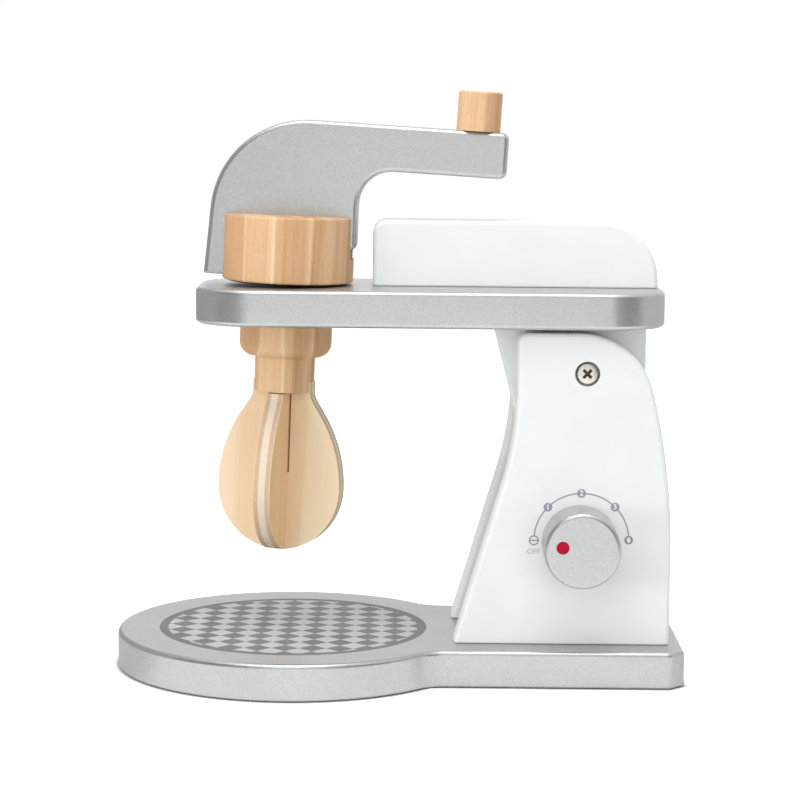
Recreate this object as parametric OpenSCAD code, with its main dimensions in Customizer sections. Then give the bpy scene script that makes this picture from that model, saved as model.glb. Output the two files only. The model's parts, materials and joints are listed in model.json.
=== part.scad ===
// Toy stand mixer of painted boards and turned wood, with a tilting head, a hand crank and a dial knob.
// Units are millimetres. X runs from the bowl end to the post, Y runs away from the viewer, Z runs up.
// The origin lies under the middle of the base board, on the table.

/* [Base] */
// Length of the base board, from the rim of its round end to the end of its tail
base_length = 188; // [176:1:200]
// Diameter of the round end that stands under the whisk
disc_d = 118; // [104:1:122]
// Depth of the tail, front to back
tail_depth = 74; // [68:1:82]
// Radius of the hollow corner between the round end and the tail
waist_r = 12; // [6:1:20]
// Cut across each end corner of the tail
tail_chamfer = 5; // [4:0.5:8]
// Thickness of the base board
base_t = 12; // [10:0.5:15]
// Radius of the eased edges on every painted board
edge_r = 1.6; // [1:0.1:1.8]

/* [Post] */
// Height of the two side panels above the base
panel_h = 102.6; // [97:0.1:109]
// Thickness of a side panel
panel_t = 12; // [10:0.5:14]
// Length of a panel's foot
foot_length = 71; // [67:1:75]
// Distance from the end of the tail to the panel's back edge
panel_setback = 4.4; // [3:0.2:7]
// How far the panel's top corner lies behind the front of its foot
front_step = 20; // [18:0.5:22]
// Lean of the panel's front edge at the foot, in degrees
front_lean = 16.5; // [15.5:0.25:17.5]
// Straight upright length at the top of the panel's front edge
front_flat = 18; // [14:1:24]
// Radius at the top of the panel's back edge
back_round = 25; // [22:0.5:26]
// Distance of that round's centre in front of the panel's back edge
crown_inset = 31; // [30:0.5:33]
// Radius of the panel's front top corner
panel_nose = 3.5; // [3:0.25:5]
// Room between the two panels
panel_gap = 27; // [25:0.5:32]
// Diameter of the rail that joins the panels and carries the resting head
rail_d = 10; // [8:0.5:12]
// Depth to which the rail stands in each panel
rail_seat = 6; // [4:0.5:8]

/* [Head] */
// Length of the head board
head_length = 154.3; // [148:0.1:160]
// Depth of the head board
head_depth = 60; // [54:1:70]
// Corner radius of the head board
head_corner = 19.5; // [12:0.5:24]
// Thickness of the head board
head_t = 12; // [10:0.5:14]
// Gap between the panels' top edge and the head board
head_gap = 1.4; // [1:0.1:2.4]
// How far the head board reaches behind the tilt pivot
head_back = 26; // [24:0.5:30]
// Height of the cover board that stands on the head
cover_h = 22; // [18:0.5:25]
// Thickness of the cover board
cover_t = 12; // [10:0.5:20]
// Radius at the cover's back top corner
cover_round = 19.4; // [10:0.1:19.4]
// Radius at the cover's front top corner
cover_nose = 4.6; // [3:0.2:6]
// Distance of the cover's back end in front of the head board's back end
cover_inset = 1.8; // [1:0.2:4]
// Height of the block that hangs under the head board between the panels
block_h = 32; // [28:0.5:34]
// Length of the block along its top
block_length = 50; // [46:0.5:52]
// Lean of the block's front face, in degrees
block_lean = 14.6; // [8:0.2:18]
// Bevel along the block's lower back edge
block_bevel = 5.6; // [3:0.2:7]
// Distance of the block's back face in front of the head board's back end
block_inset = 6; // [5:0.25:7]
// Distance of the tilt pivot below the panels' top edge
pivot_drop = 13.1; // [12.5:0.1:14.5]
// Distance of the tilt pivot in front of the panels' back edge
pivot_inset = 28.4; // [26:0.2:30]

/* [Crank] */
// Distance of the crank's axis from the front end of the head board
axis_inset = 29.5; // [27:0.1:32]
// Lean of the crank in its loose bore, in degrees, top towards the post
crank_lean = 1.7; // [0:0.1:2.4]
// Turn of the crank at rest, in degrees, handle towards the viewer
crank_turn = 3; // [0:1:40]
// Diameter of the wooden hub
hub_d = 43.6; // [40:0.2:46]
// Height of the hub
hub_h = 21.7; // [21:0.1:23]
// Height of the hub above the head board
hub_lift = 1.3; // [1.2:0.1:2.4]
// How far the washer under the hub stands back from the hub's rim
washer_inset = 2; // [1:0.25:5]
// Depth of the slot across the hub's top
slot_depth = 13.7; // [13.6:0.1:15]
// Depth to which the arm stands in that slot
tongue = 11; // [8:0.1:11]
// How far the arm stands out of the slot's open end, under the bar
tongue_out = 0.3; // [0.1:0.1:1]
// Thickness of the crank arm
arm_t = 12; // [10:0.5:13]
// Reach of the arm's bar from the axis to its end
arm_reach = 71.6; // [66:0.1:78]
// Height of the arm's top above the hub's top
arm_rise = 31.8; // [28:0.1:36]
// Height of the arm's bar
bar_h = 15.1; // [12:0.1:17]
// Droop of the bar towards the handle, in degrees
bar_droop = 1.6; // [0:0.1:2.5]
// Reach of the leg that hangs over the hub's side
leg_reach = 27.7; // [27:0.1:29]
// Depth to which that leg hangs below the hub's top
leg_drop = 20.2; // [16:0.1:20.6]
// Depth to which that leg stands in a groove down the hub's side
leg_seat = 2.5; // [1.6:0.1:3]
// Lean of that leg towards the axis, in degrees
leg_lean = 4.4; // [3:0.2:6]
// Radius of the arm's rounded shoulder
shoulder_r = 32; // [24:0.5:34]
// Radius of the hollow under the bar
throat_r = 11.5; // [8:0.5:12]
// Diameter of the handle peg
peg_d = 14.5; // [12:0.5:18]
// Height of the handle peg above the arm
peg_h = 13; // [10:0.5:20]
// Distance of the peg's axis from the end of the arm
peg_inset = 10.3; // [8:0.1:14]
// Depth to which the peg's thin end stands in the arm
peg_seat = 9; // [6:0.5:11]
// Depth to which the shaft's thin end stands in the arm
shaft_seat = 11; // [8:0.5:20]
// Radius of the eased rims on every turned piece
turned_ease = 0.8; // [0.4:0.1:1.2]

/* [Whisk] */
// Diameter of the collar under the head board
collar_d = 30.7; // [28:0.1:34]
// Height of the collar
collar_h = 10.9; // [9:0.1:14]
// Radius of the collar's rounded lower edge
collar_r = 4.5; // [2:0.1:5]
// Diameter of the neck that holds the whisk
neck_d = 20; // [18:0.5:22]
// Length of the neck below the collar
neck_h = 11.7; // [9:0.1:15]
// Diameter of the shaft through the head board
shaft_d = 10; // [8:0.5:12]
// Diameter of the shaft's thinner top end, which stands in the arm
tenon_d = 6; // [4:0.5:7]
// Thickness of the two whisk plates
ply_t = 5; // [4:0.25:6]
// Largest radius of the whisk
whisk_r = 21.3; // [20:0.1:24]
// Length of the whisk below the neck
whisk_h = 53.6; // [50:0.1:58]
// Height above the whisk's tip at which its two plates lap over each other
lap_h = 24.5; // [20:0.5:32]
// Radius of the whisk's flanks
flank_r = 45; // [40:0.5:48]
// Turn of a flank from its widest place to its straight stretch, in degrees
flank_turn = 33; // [31:0.5:35]
// Radius of the hollow where a flank meets the neck
hollow_r = 6; // [4:0.5:8]
// Depth of the slot across the neck
neck_slot = 3.6; // [2.5:0.1:5]
// Turn of the whisk on its neck, in degrees
whisk_turn = 15; // [0:1:45]

/* [Knob] */
// Diameter of the control knob
knob_d = 24.7; // [20:0.1:28]
// Length of the knob in front of the panel
knob_l = 17.7; // [12:0.1:22]
// Bevel around the knob's front face
knob_bevel = 1.5; // [0.5:0.1:3]
// Bevel around the knob's back face
knob_back_bevel = 0.5; // [0.3:0.1:1]
// Height of the knob's axis above the base board
knob_up = 34.2; // [28:0.1:40]
// Distance of the knob's axis in front of the panels' back edge
knob_inset = 30.1; // [26:0.1:36]
// Diameter of the washer behind the panel that keeps the knob in place
keeper_d = 12; // [9:0.5:14]
// Thickness of that washer
keeper_t = 1; // [0.8:0.1:1.6]

/* [Screws and dowels] */
// Diameter of every screw's shank
screw_d = 4.2; // [3.5:0.1:4.6]
// Diameter of every screw's head
screw_head_d = 6.8; // [6.4:0.1:7.6]
// Height of every screw's head
screw_head_h = 2.4; // [2:0.1:2.6]
// Clearance around a screw's head in its recess
recess_gap = 0.7; // [0.4:0.05:0.9]
// Depth of a screw's head below the mouth of its recess
screw_sink = 1; // [0.5:0.1:1.5]
// Length of the cross in a screw's head
cross_l = 3.8; // [3:0.1:4.6]
// Width of the cross's slots
cross_w = 1; // [0.7:0.1:1.3]
// Depth of that cross
cross_depth = 1.4; // [1:0.1:1.8]
// Length of a pivot's or the knob's screw in the wood that turns with it
screw_bite = 9; // [7:0.5:10]
// Length of the screws that hold the panels' feet
foot_screw_l = 30; // [24:1:40]
// Distance of those screws from the ends of a foot
foot_screw_inset = 15; // [10:0.5:20]
// Length of the screws that hold the head board on its block
board_screw_l = 24; // [18:1:30]
// Distance of the front one of them behind the block's front edge
board_screw_front = 12; // [10:0.5:16]
// Distance of the back one of them in front of the block's back face
board_screw_back = 8; // [6:0.5:10]
// Diameter of the cover's dowels
dowel_d = 6; // [5:0.5:8]
// Length of the cover's dowels
dowel_l = 18; // [14:0.5:20]
// Depth to which a dowel stands in the head board
dowel_seat = 8; // [6:0.5:9]
// Distance of the front dowel behind the cover's front end
dowel_inset = 16; // [10:0.5:24]

/* [Clearances] */
// Gap between pieces that move past each other
slide_gap = 0.3; // [0.3:0.05:0.4]
// Radial clearance of a screw's shank in the panel that it turns in
run_gap = 0.08; // [0.05:0.01:0.1]
// Clearance on each side of a plate in its slot
slot_gap = 0.05; // [0.02:0.01:0.1]
// Gap between the sweep of the hanging leg and the cover
sweep_gap = 0.5; // [0.4:0.1:1]

/* [Hidden] */
$fn = 72;
// Small corners of the boards' outlines, always rounder than the eased edges.
corner_r = edge_r + 0.8;
// Heights of the stacked pieces.
panel_top = base_t + panel_h;
head_z = panel_top + head_gap;
head_mid = head_z + head_t / 2;
head_top = head_z + head_t;
// Places along the base.
base_end = base_length / 2;
disc_x = -base_end + disc_d / 2;
back_x = base_end - panel_setback;
foot_x = back_x - foot_length;
pivot_x = back_x - pivot_inset;
pivot_z = panel_top - pivot_drop;
knob_x = back_x - knob_inset;
knob_z = base_t + knob_up;
panel_in = panel_gap / 2;
panel_out = panel_in + panel_t;
// Places on the head.
head_end = pivot_x + head_back;
head_front = head_end - head_length;
crank_x = head_front + axis_inset;
block_end = head_end - block_inset;
block_front = block_end - block_length;
block_w = panel_gap - 2 * slide_gap;
block_z = head_z - block_h;
// Heights along the crank's own axis, measured from the middle of the head board.
hub_low = head_t / 2 + hub_lift;
hub_top = hub_low + hub_h;
hub_r = hub_d / 2;
arm_low = hub_top - tongue;
arm_top = hub_top + arm_rise;
collar_top = -head_t / 2 - 2 * slide_gap - collar_d / 2 * sin(crank_lean);
collar_low = collar_top - collar_h;
neck_low = collar_low - neck_h;
whisk_low = neck_low - whisk_h;
whisk_mid = whisk_low + whisk_r;
lap = whisk_low + lap_h;
washer_d = hub_d - 2 * washer_inset;
washer_t = hub_lift - washer_d / 2 * sin(crank_lean) - slide_gap;
// The loose bore lets the leaning shaft pass through the whole board.
head_bore = shaft_d + head_t * tan(crank_lean) + 2 * slide_gap;
// The cover starts where the sweep of the hanging leg ends.
leg_sweep = norm([leg_reach - 0.3 * edge_r, arm_t / 2 - 0.3 * edge_r]);
cover_front = crank_x + (hub_top - leg_drop) * sin(crank_lean) + leg_sweep + sweep_gap;
cover_end = head_end - cover_inset;
// Screw recesses and places.
recess_d = screw_head_d + 2 * recess_gap;
recess_h = screw_head_h + screw_sink;
pivot_screw_l = panel_t - recess_h + slide_gap + screw_head_h + screw_bite;
screw_tip = panel_out - recess_h + slide_gap + screw_head_h - pivot_screw_l;
foot_screws = [foot_x + foot_screw_inset, back_x - foot_screw_inset];
board_screw_top = head_top - screw_sink;
board_screws_x = [block_front + board_screw_front, block_end - board_screw_back];
dowels_x = [cover_front + dowel_inset, (board_screws_x[0] + board_screws_x[1]) / 2];
rail_x = block_front + block_h * tan(block_lean) + 0.55 * rail_d;
rail_z = block_z - slide_gap - rail_d / 2;

function unit(v) = v / norm(v);

// One rounded corner of an outline at p, between the points a and b: pairs of a place and its outward normal.
function corner(p, a, b, r) =
    let (u = unit(a - p), w = unit(b - p))
    let (half = acos(u * w) / 2, turn = 180 - 2 * half)
    let (c = p + unit(u + w) * r / sin(half))
    let (s = p + u * r / tan(half) - c, e = p + w * r / tan(half) - c)
    let (a0 = atan2(s.y, s.x), d = (atan2(e.y, e.x) - a0 + 540) % 360 - 180)
    let (n = max(3, ceil(turn * sqrt(r) / 30)))
    [for (i = [0 : n]) let (q = [cos(a0 + d * i / n), sin(a0 + d * i / n)]) [c + r * q, sign(d) * q]];

// A whole outline from corners [x, y, radius], listed counter-clockwise.
function outline(v) =
    let (n = len(v))
    [for (i = [0 : n - 1])
        let (p = v[i], a = v[(i + n - 1) % n], b = v[(i + 1) % n])
        each corner([p.x, p.y], [a.x, a.y], [b.x, b.y], p.z)];

// An arc of an outline; side is 1 where the board lies inside the arc and -1 where it lies outside.
function arc(c, r, a0, a1, n, side) =
    [for (i = [0 : n]) let (a = a0 + (a1 - a0) * i / n, q = [cos(a), sin(a)]) [c + r * q, side * q]];

// Twice the area of the triangle p, q, r: positive where it turns to the left.
function turn(p, q, r) = (q.x - p.x) * (r.y - p.y) - (q.y - p.y) * (r.x - p.x);

// Whether corner i of a ring can be cut off without touching another corner.
function is_ear(pts, ring, i) =
    let (n = len(ring), a = pts[ring[(i + n - 1) % n]], b = pts[ring[i]], c = pts[ring[(i + 1) % n]])
    turn(a, b, c) > 0 && len([
        for (k = ring)
            let (q = pts[k])
            if (q != a && q != b && q != c && turn(a, b, q) >= 0 && turn(b, c, q) >= 0 && turn(c, a, q) >= 0) k
    ]) == 0;

function next_ear(pts, ring, i) =
    is_ear(pts, ring, i % len(ring)) ? i % len(ring) : next_ear(pts, ring, i + 1);

// Splits a ring of corners into triangles by cutting its ears off, one after another.
function triangles(pts, ring, from = 0) =
    len(ring) == 3 ? [ring] :
    let (n = len(ring), i = next_ear(pts, ring, from))
    concat(
        [[ring[(i + n - 1) % n], ring[i], ring[(i + 1) % n]]],
        triangles(pts, [for (k = [0 : n - 1]) if (k != i) ring[k]], i + 1)
    );

// A board of thickness t with eased edges of radius er, cut to an outline.
module board(line, t, er) {
    n = len(line);
    flat = triangles([for (p = line) p[0]], [for (i = [0 : n - 1]) i]);
    eased = [for (i = [0 : 3]) [er * (1 - cos(30 * i)), er * (1 - sin(30 * i))]];
    rings = concat(eased, [for (i = [3 : -1 : 0]) [t - eased[i].x, eased[i].y]]);
    top = (len(rings) - 1) * n;
    polyhedron(
        points = [for (g = rings, p = line) [p[0].x - p[1].x * g.y, p[0].y - p[1].y * g.y, g.x]],
        faces = concat(
            flat,
            [for (f = flat) [top + f[2], top + f[1], top + f[0]]],
            [for (k = [0 : len(rings) - 2], i = [0 : n - 1])
                let (j = (i + 1) % n)
                [k * n + i, (k + 1) * n + i, (k + 1) * n + j, k * n + j]]
        )
    );
}

// Stands a flat board up, so that its outline lies in X and Z and its middle on Y = 0.
module upright(t) {
    translate([0, t / 2, 0])
        rotate([90, 0, 0])
            children();
}

// Places children on the crank's leaning and turned axis.
module on_crank(turn = crank_turn) {
    translate([crank_x, 0, head_mid])
        rotate([0, crank_lean, 0])
            rotate([0, 0, -turn])
                children();
}

// A round bar from y0 to y1, at x and z.
module bar_y(x, z, y0, y1, d) {
    translate([x, y1, z])
        rotate([90, 0, 0])
            cylinder(d = d, h = y1 - y0);
}

// A turned piece of diameter d and height h, with both of its rims eased.
module turned(d, h) {
    e = turned_ease;
    rim = [for (a = [0 : 30 : 90]) e * [sin(a) - 1, 1 - cos(a)]];
    rotate_extrude()
        polygon(concat(
            [[0, 0]],
            [for (p = rim) [d / 2 + p.x, p.y]],
            [for (i = [3 : -1 : 0]) [d / 2 + rim[i].x, h - rim[i].y]],
            [[0, h]]
        ));
}

// A screw along Z with the top of its head at 0 and a cross recess in it.
module screw(l) {
    difference() {
        union() {
            translate([0, 0, -screw_head_h])
                cylinder(d = screw_head_d, h = screw_head_h);
            translate([0, 0, -l])
                cylinder(d = screw_d, h = l - screw_head_h + 0.5);
        }
        for (a = [45, 135])
            rotate([0, 0, a])
                translate([-cross_l / 2, -cross_w / 2, -cross_depth])
                    cube([cross_l, cross_w, 2 * cross_depth]);
    }
}

function base_line() =
    let (h = tail_depth / 2, r = disc_d / 2, c = tail_chamfer)
    let (w = sqrt(pow(r + waist_r, 2) - pow(h + waist_r, 2)), a = atan2(h + waist_r, w))
    concat(
        corner([base_end - c, -h], [disc_x, -h], [base_end, c - h], corner_r),
        corner([base_end, c - h], [base_end - c, -h], [base_end, h - c], corner_r),
        corner([base_end, h - c], [base_end, c - h], [base_end - c, h], corner_r),
        corner([base_end - c, h], [base_end, h - c], [disc_x, h], corner_r),
        arc([disc_x + w, h + waist_r], waist_r, -90, a - 180, 6, -1),
        arc([disc_x, 0], r, a, 360 - a, 62, 1),
        arc([disc_x + w, -h - waist_r], waist_r, 180 - a, 90, 6, -1)
    );

function panel_line() =
    let (l = front_lean, up = panel_h - front_flat, x0 = foot_x, x1 = foot_x + front_step)
    let (front_r = (up * tan(l) - front_step) * cos(l) / (1 - cos(l)))
    let (ease = 14, back_r = 0.98 * (crown_inset - back_round * cos(ease)) / (1 - cos(ease)))
    let (bend = panel_h - front_flat - front_r * tan(l / 2))
    let (cx = back_x - crown_inset, ux = cx + back_round * cos(ease), uz = panel_h - back_round + back_round * sin(ease))
    let (v1x = ux - (panel_h - uz) * tan(ease), v2z = uz - (back_x - ux) / tan(ease))
    outline([
        [x0, 0, corner_r],
        [back_x, 0, corner_r],
        [back_x, v2z, back_r],
        [v1x, panel_h, 0.99 * back_round],
        [x1, panel_h, panel_nose],
        [x1, bend, front_r]
    ]);

function arm_line() =
    let (d = bar_droop, x0 = -leg_reach, hook = hub_top - leg_drop, in_x = leg_seat - hub_r)
    let (end_top = arm_top - arm_reach * tan(d), low = end_top - bar_h / cos(d))
    let (sx = x0 + (arm_top - hook) * tan(leg_lean), right = hub_r + tongue_out)
    outline([
        [x0, hook, corner_r],
        [in_x, hook, corner_r],
        [in_x, arm_low, corner_r],
        [right, arm_low, corner_r],
        [right, low + (arm_reach - right) * tan(d), throat_r],
        [arm_reach - bar_h * sin(d), low, corner_r],
        [arm_reach, end_top, corner_r],
        [sx, arm_top - sx * tan(d), shoulder_r]
    ]);

function cover_line() =
    outline([
        [cover_front, head_top, corner_r],
        [cover_end, head_top, corner_r],
        [cover_end, head_top + cover_h, min(cover_round, 0.99 * (cover_h - corner_r))],
        [cover_front, head_top + cover_h, cover_nose]
    ]);

// The whisk's pear-shaped outline, cut off level at the height top.
module whisk_shape(top) {
    r2 = flank_r;
    a = flank_turn;
    r3 = hollow_r;
    neck_r = neck_d / 2;
    p = [whisk_r - r2 + r2 * cos(a), whisk_mid + r2 * sin(a)];
    u = neck_r + r3 * (1 - cos(a));
    w = p.y + (p.x - u) / tan(a);
    half = concat(
        [for (i = [0 : 24]) let (t = -90 + 90 * i / 24) [whisk_r * cos(t), whisk_mid + whisk_r * sin(t)]],
        [for (i = [1 : 7]) let (t = a * i / 7) [whisk_r - r2 + r2 * cos(t), whisk_mid + r2 * sin(t)]],
        [for (i = [0 : 5]) let (t = a - a * i / 5) [neck_r + r3 * (1 - cos(t)), w + r3 * (sin(a) - sin(t))]],
        [[neck_r, w + 40]]
    );
    n = len(half);
    intersection() {
        polygon(concat(half, [for (i = [n - 1 : -1 : 1]) [-half[i].x, half[i].y]]));
        translate([-2 * whisk_r, whisk_low - 1])
            square([4 * whisk_r, top - whisk_low + 1]);
    }
}

module base_board() {
    color("silver")
        difference() {
            board(base_line(), base_t, edge_r);
            for (x = foot_screws, y = [-1, 1])
                translate([x, y * (panel_in + panel_t / 2), 0]) {
                    translate([0, 0, -1])
                        cylinder(d = recess_d, h = recess_h + 1);
                    cylinder(d = screw_d, h = 3 * base_t, center = true);
                }
        }
}

// A side panel, with its outer face towards the viewer.
module panel_blank() {
    difference() {
        translate([0, -panel_in - panel_t / 2, base_t])
            upright(panel_t)
                board(panel_line(), panel_t, edge_r);
        bar_y(pivot_x, pivot_z, -panel_out - 1, -panel_in + 1, screw_d + 2 * run_gap);
        bar_y(pivot_x, pivot_z, -panel_out - 1, -panel_out + recess_h, recess_d);
        bar_y(rail_x, rail_z, -panel_in - rail_seat, -panel_in + 1, rail_d);
        for (x = foot_screws)
            translate([x, -panel_in - panel_t / 2, base_t - 1])
                cylinder(d = screw_d, h = recess_h - screw_head_h + foot_screw_l - base_t + 1);
    }
}

module front_panel() {
    color("white")
        difference() {
            panel_blank();
            bar_y(knob_x, knob_z, -panel_out - 1, -panel_in + 1, screw_d + 2 * run_gap);
        }
}

module rear_panel() {
    color("white")
        mirror([0, 1, 0])
            panel_blank();
}

module stop_rail() {
    color("burlywood")
        bar_y(rail_x, rail_z, -panel_in - rail_seat, panel_in + rail_seat, rail_d);
}

module foot_screw_set() {
    color("gray")
        for (x = foot_screws, y = [-1, 1])
            translate([x, y * (panel_in + panel_t / 2), recess_h - screw_head_h])
                mirror([0, 0, 1])
                    screw(foot_screw_l);
}

module hinge_block() {
    fall = block_h * tan(block_lean);
    color("white")
        difference() {
            upright(block_w)
                linear_extrude(block_w)
                    polygon([
                        [block_front, head_z],
                        [block_front + fall, block_z],
                        [block_end - block_bevel, block_z],
                        [block_end, block_z + block_bevel],
                        [block_end, head_z]
                    ]);
            for (s = [0, 1])
                mirror([0, s, 0])
                    bar_y(pivot_x, pivot_z, -panel_out, -screw_tip, screw_d);
            for (x = board_screws_x)
                translate([x, 0, board_screw_top - board_screw_l])
                    cylinder(d = screw_d, h = board_screw_l);
        }
}

module pivot_screws() {
    color("lightgray")
        for (s = [0, 1])
            mirror([0, s, 0])
                translate([pivot_x, -screw_tip - pivot_screw_l, pivot_z])
                    rotate([90, 0, 0])
                        screw(pivot_screw_l);
}

module head_board() {
    h = head_depth / 2;
    color("silver")
        difference() {
            translate([0, 0, head_z])
                board(outline([
                    [head_front, -h, head_corner],
                    [head_end, -h, head_corner],
                    [head_end, h, head_corner],
                    [head_front, h, head_corner]
                ]), head_t, edge_r);
            translate([crank_x, 0, head_z - 1])
                cylinder(d = head_bore, h = head_t + 2);
            for (x = board_screws_x)
                translate([x, 0, head_z - 1]) {
                    cylinder(d = screw_d, h = head_t + 2);
                    translate([0, 0, head_t + 1 - recess_h])
                        cylinder(d = recess_d, h = recess_h + 1);
                }
            for (x = dowels_x)
                translate([x, 0, head_top - dowel_seat])
                    cylinder(d = dowel_d, h = dowel_seat + 1);
        }
}

module board_screw_set() {
    color("gray")
        for (x = board_screws_x)
            translate([x, 0, board_screw_top])
                screw(board_screw_l);
}

module head_cover() {
    color("white")
        difference() {
            upright(cover_t)
                board(cover_line(), cover_t, edge_r);
            for (x = dowels_x)
                translate([x, 0, head_top - 1])
                    cylinder(d = dowel_d, h = dowel_l - dowel_seat + 1);
        }
}

module cover_dowels() {
    color("burlywood")
        for (x = dowels_x)
            translate([x, 0, head_top - dowel_seat])
                cylinder(d = dowel_d, h = dowel_l);
}

module control_knob() {
    y0 = -panel_out - slide_gap;
    color("silver")
        difference() {
            translate([knob_x, y0, knob_z])
                rotate([90, 0, 0])
                    rotate_extrude()
                        polygon([
                            [0, 0],
                            [knob_d / 2 - knob_back_bevel, 0],
                            [knob_d / 2, knob_back_bevel],
                            [knob_d / 2, knob_l - slide_gap - knob_bevel],
                            [knob_d / 2 - knob_bevel, knob_l - slide_gap],
                            [0, knob_l - slide_gap]
                        ]);
            bar_y(knob_x, knob_z, y0 - screw_bite, y0 + 1, screw_d);
        }
}

module knob_washer() {
    y0 = -panel_in + slide_gap;
    color("lightgray")
        difference() {
            bar_y(knob_x, knob_z, y0, y0 + keeper_t, keeper_d);
            bar_y(knob_x, knob_z, y0 - 1, y0 + keeper_t + 1, screw_d);
        }
}

module knob_screw() {
    y0 = -panel_in + slide_gap + keeper_t;
    color("gray")
        translate([knob_x, y0 + screw_head_h, knob_z])
            rotate([-90, 0, 0])
                screw(screw_head_h + keeper_t + panel_t + 2 * slide_gap + screw_bite);
}

module crank_hub() {
    color("burlywood")
        on_crank()
            difference() {
                translate([0, 0, hub_low])
                    turned(hub_d, hub_h);
                translate([-hub_d, -arm_t / 2 - slot_gap, hub_top - slot_depth])
                    cube([2 * hub_d, arm_t + 2 * slot_gap, 2 * hub_h]);
                translate([-hub_d, -arm_t / 2 - slot_gap, hub_top - leg_drop - slot_gap])
                    cube([hub_d - hub_r + leg_seat + slot_gap, arm_t + 2 * slot_gap, 2 * hub_h]);
                cylinder(d = shaft_d, h = 2 * hub_top);
            }
}

module hub_washer() {
    color("dimgray")
        on_crank()
            translate([0, 0, hub_low - washer_t])
                difference() {
                    cylinder(d = washer_d, h = washer_t);
                    translate([0, 0, -1])
                        cylinder(d = shaft_d, h = washer_t + 2);
                }
}

module crank_arm() {
    color("silver")
        on_crank()
            difference() {
                upright(arm_t)
                    board(arm_line(), arm_t, edge_r);
                translate([0, 0, arm_low - 1])
                    cylinder(d = tenon_d, h = shaft_seat + 1);
                on_peg()
                    translate([0, 0, -peg_seat])
                        cylinder(d = tenon_d, h = peg_seat + 1);
            }
}

// Places children where the peg stands, square to the bar's top edge.
module on_peg() {
    u = arm_reach - peg_inset;
    translate([u, 0, arm_top - u * tan(bar_droop)])
        rotate([0, bar_droop, 0])
            children();
}

module crank_peg() {
    color("burlywood")
        on_crank()
            on_peg()
                union() {
                    turned(peg_d, peg_h);
                    translate([0, 0, -peg_seat])
                        cylinder(d = tenon_d, h = peg_seat + 1);
                }
}

module whisk_spindle() {
    color("burlywood")
        on_crank(whisk_turn)
            difference() {
                union() {
                    rotate_extrude()
                        difference() {
                            translate([0, collar_low])
                                square([collar_d / 2, collar_h]);
                            translate([collar_d / 2 - collar_r, collar_low - 1])
                                difference() {
                                    square([collar_r + 1, collar_r + 1]);
                                    translate([0, collar_r + 1])
                                        circle(r = collar_r);
                                }
                        }
                    translate([0, 0, neck_low])
                        cylinder(d = neck_d, h = neck_h + 1);
                    translate([0, 0, collar_top - 1])
                        cylinder(d = shaft_d, h = hub_top - slot_depth - collar_top + 1);
                    translate([0, 0, collar_top])
                        cylinder(d = tenon_d, h = arm_low + shaft_seat - collar_top);
                }
                translate([-neck_d, -ply_t / 2 - slot_gap, neck_low - 1])
                    cube([2 * neck_d, ply_t + 2 * slot_gap, neck_slot + 1]);
            }
}

// The plate whose edge faces the viewer; it ends under the neck and is slotted from below.
module whisk_plate_a() {
    color("wheat")
        on_crank(whisk_turn + 90)
            upright(ply_t)
                linear_extrude(ply_t)
                    difference() {
                        whisk_shape(neck_low);
                        translate([-ply_t / 2 - slot_gap, whisk_low - 1])
                            square([ply_t + 2 * slot_gap, lap - whisk_low + 1]);
                    }
}

// The plate that stands in the neck's slot; it is slotted from above.
module whisk_plate_b() {
    color("wheat")
        on_crank(whisk_turn)
            upright(ply_t)
                linear_extrude(ply_t)
                    difference() {
                        whisk_shape(neck_low + neck_slot);
                        translate([-ply_t / 2 - 6 * slot_gap, lap])
                            square([ply_t + 12 * slot_gap, whisk_h + neck_slot]);
                    }
}

base_board();
front_panel();
rear_panel();
stop_rail();
foot_screw_set();
hinge_block();
pivot_screws();
head_board();
board_screw_set();
head_cover();
cover_dowels();
control_knob();
knob_washer();
knob_screw();
crank_hub();
hub_washer();
crank_arm();
crank_peg();
whisk_spindle();
whisk_plate_a();
whisk_plate_b();
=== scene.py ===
# %% [markdown]
# # Dressing a wooden toy stand mixer
# The mixer is a play-kitchen toy: painted boards, turned wood, a plywood whisk and a few screws. The frame
# holds every piece at its real size, so this lesson never has to guess where a thing goes. It models the
# pieces that show with softer edges and finer curves than the frame has, and then gives each one its
# finish.

# %% Load the frame
import json
import math

import bmesh
import bpy
from mathutils import Matrix, Vector


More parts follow.
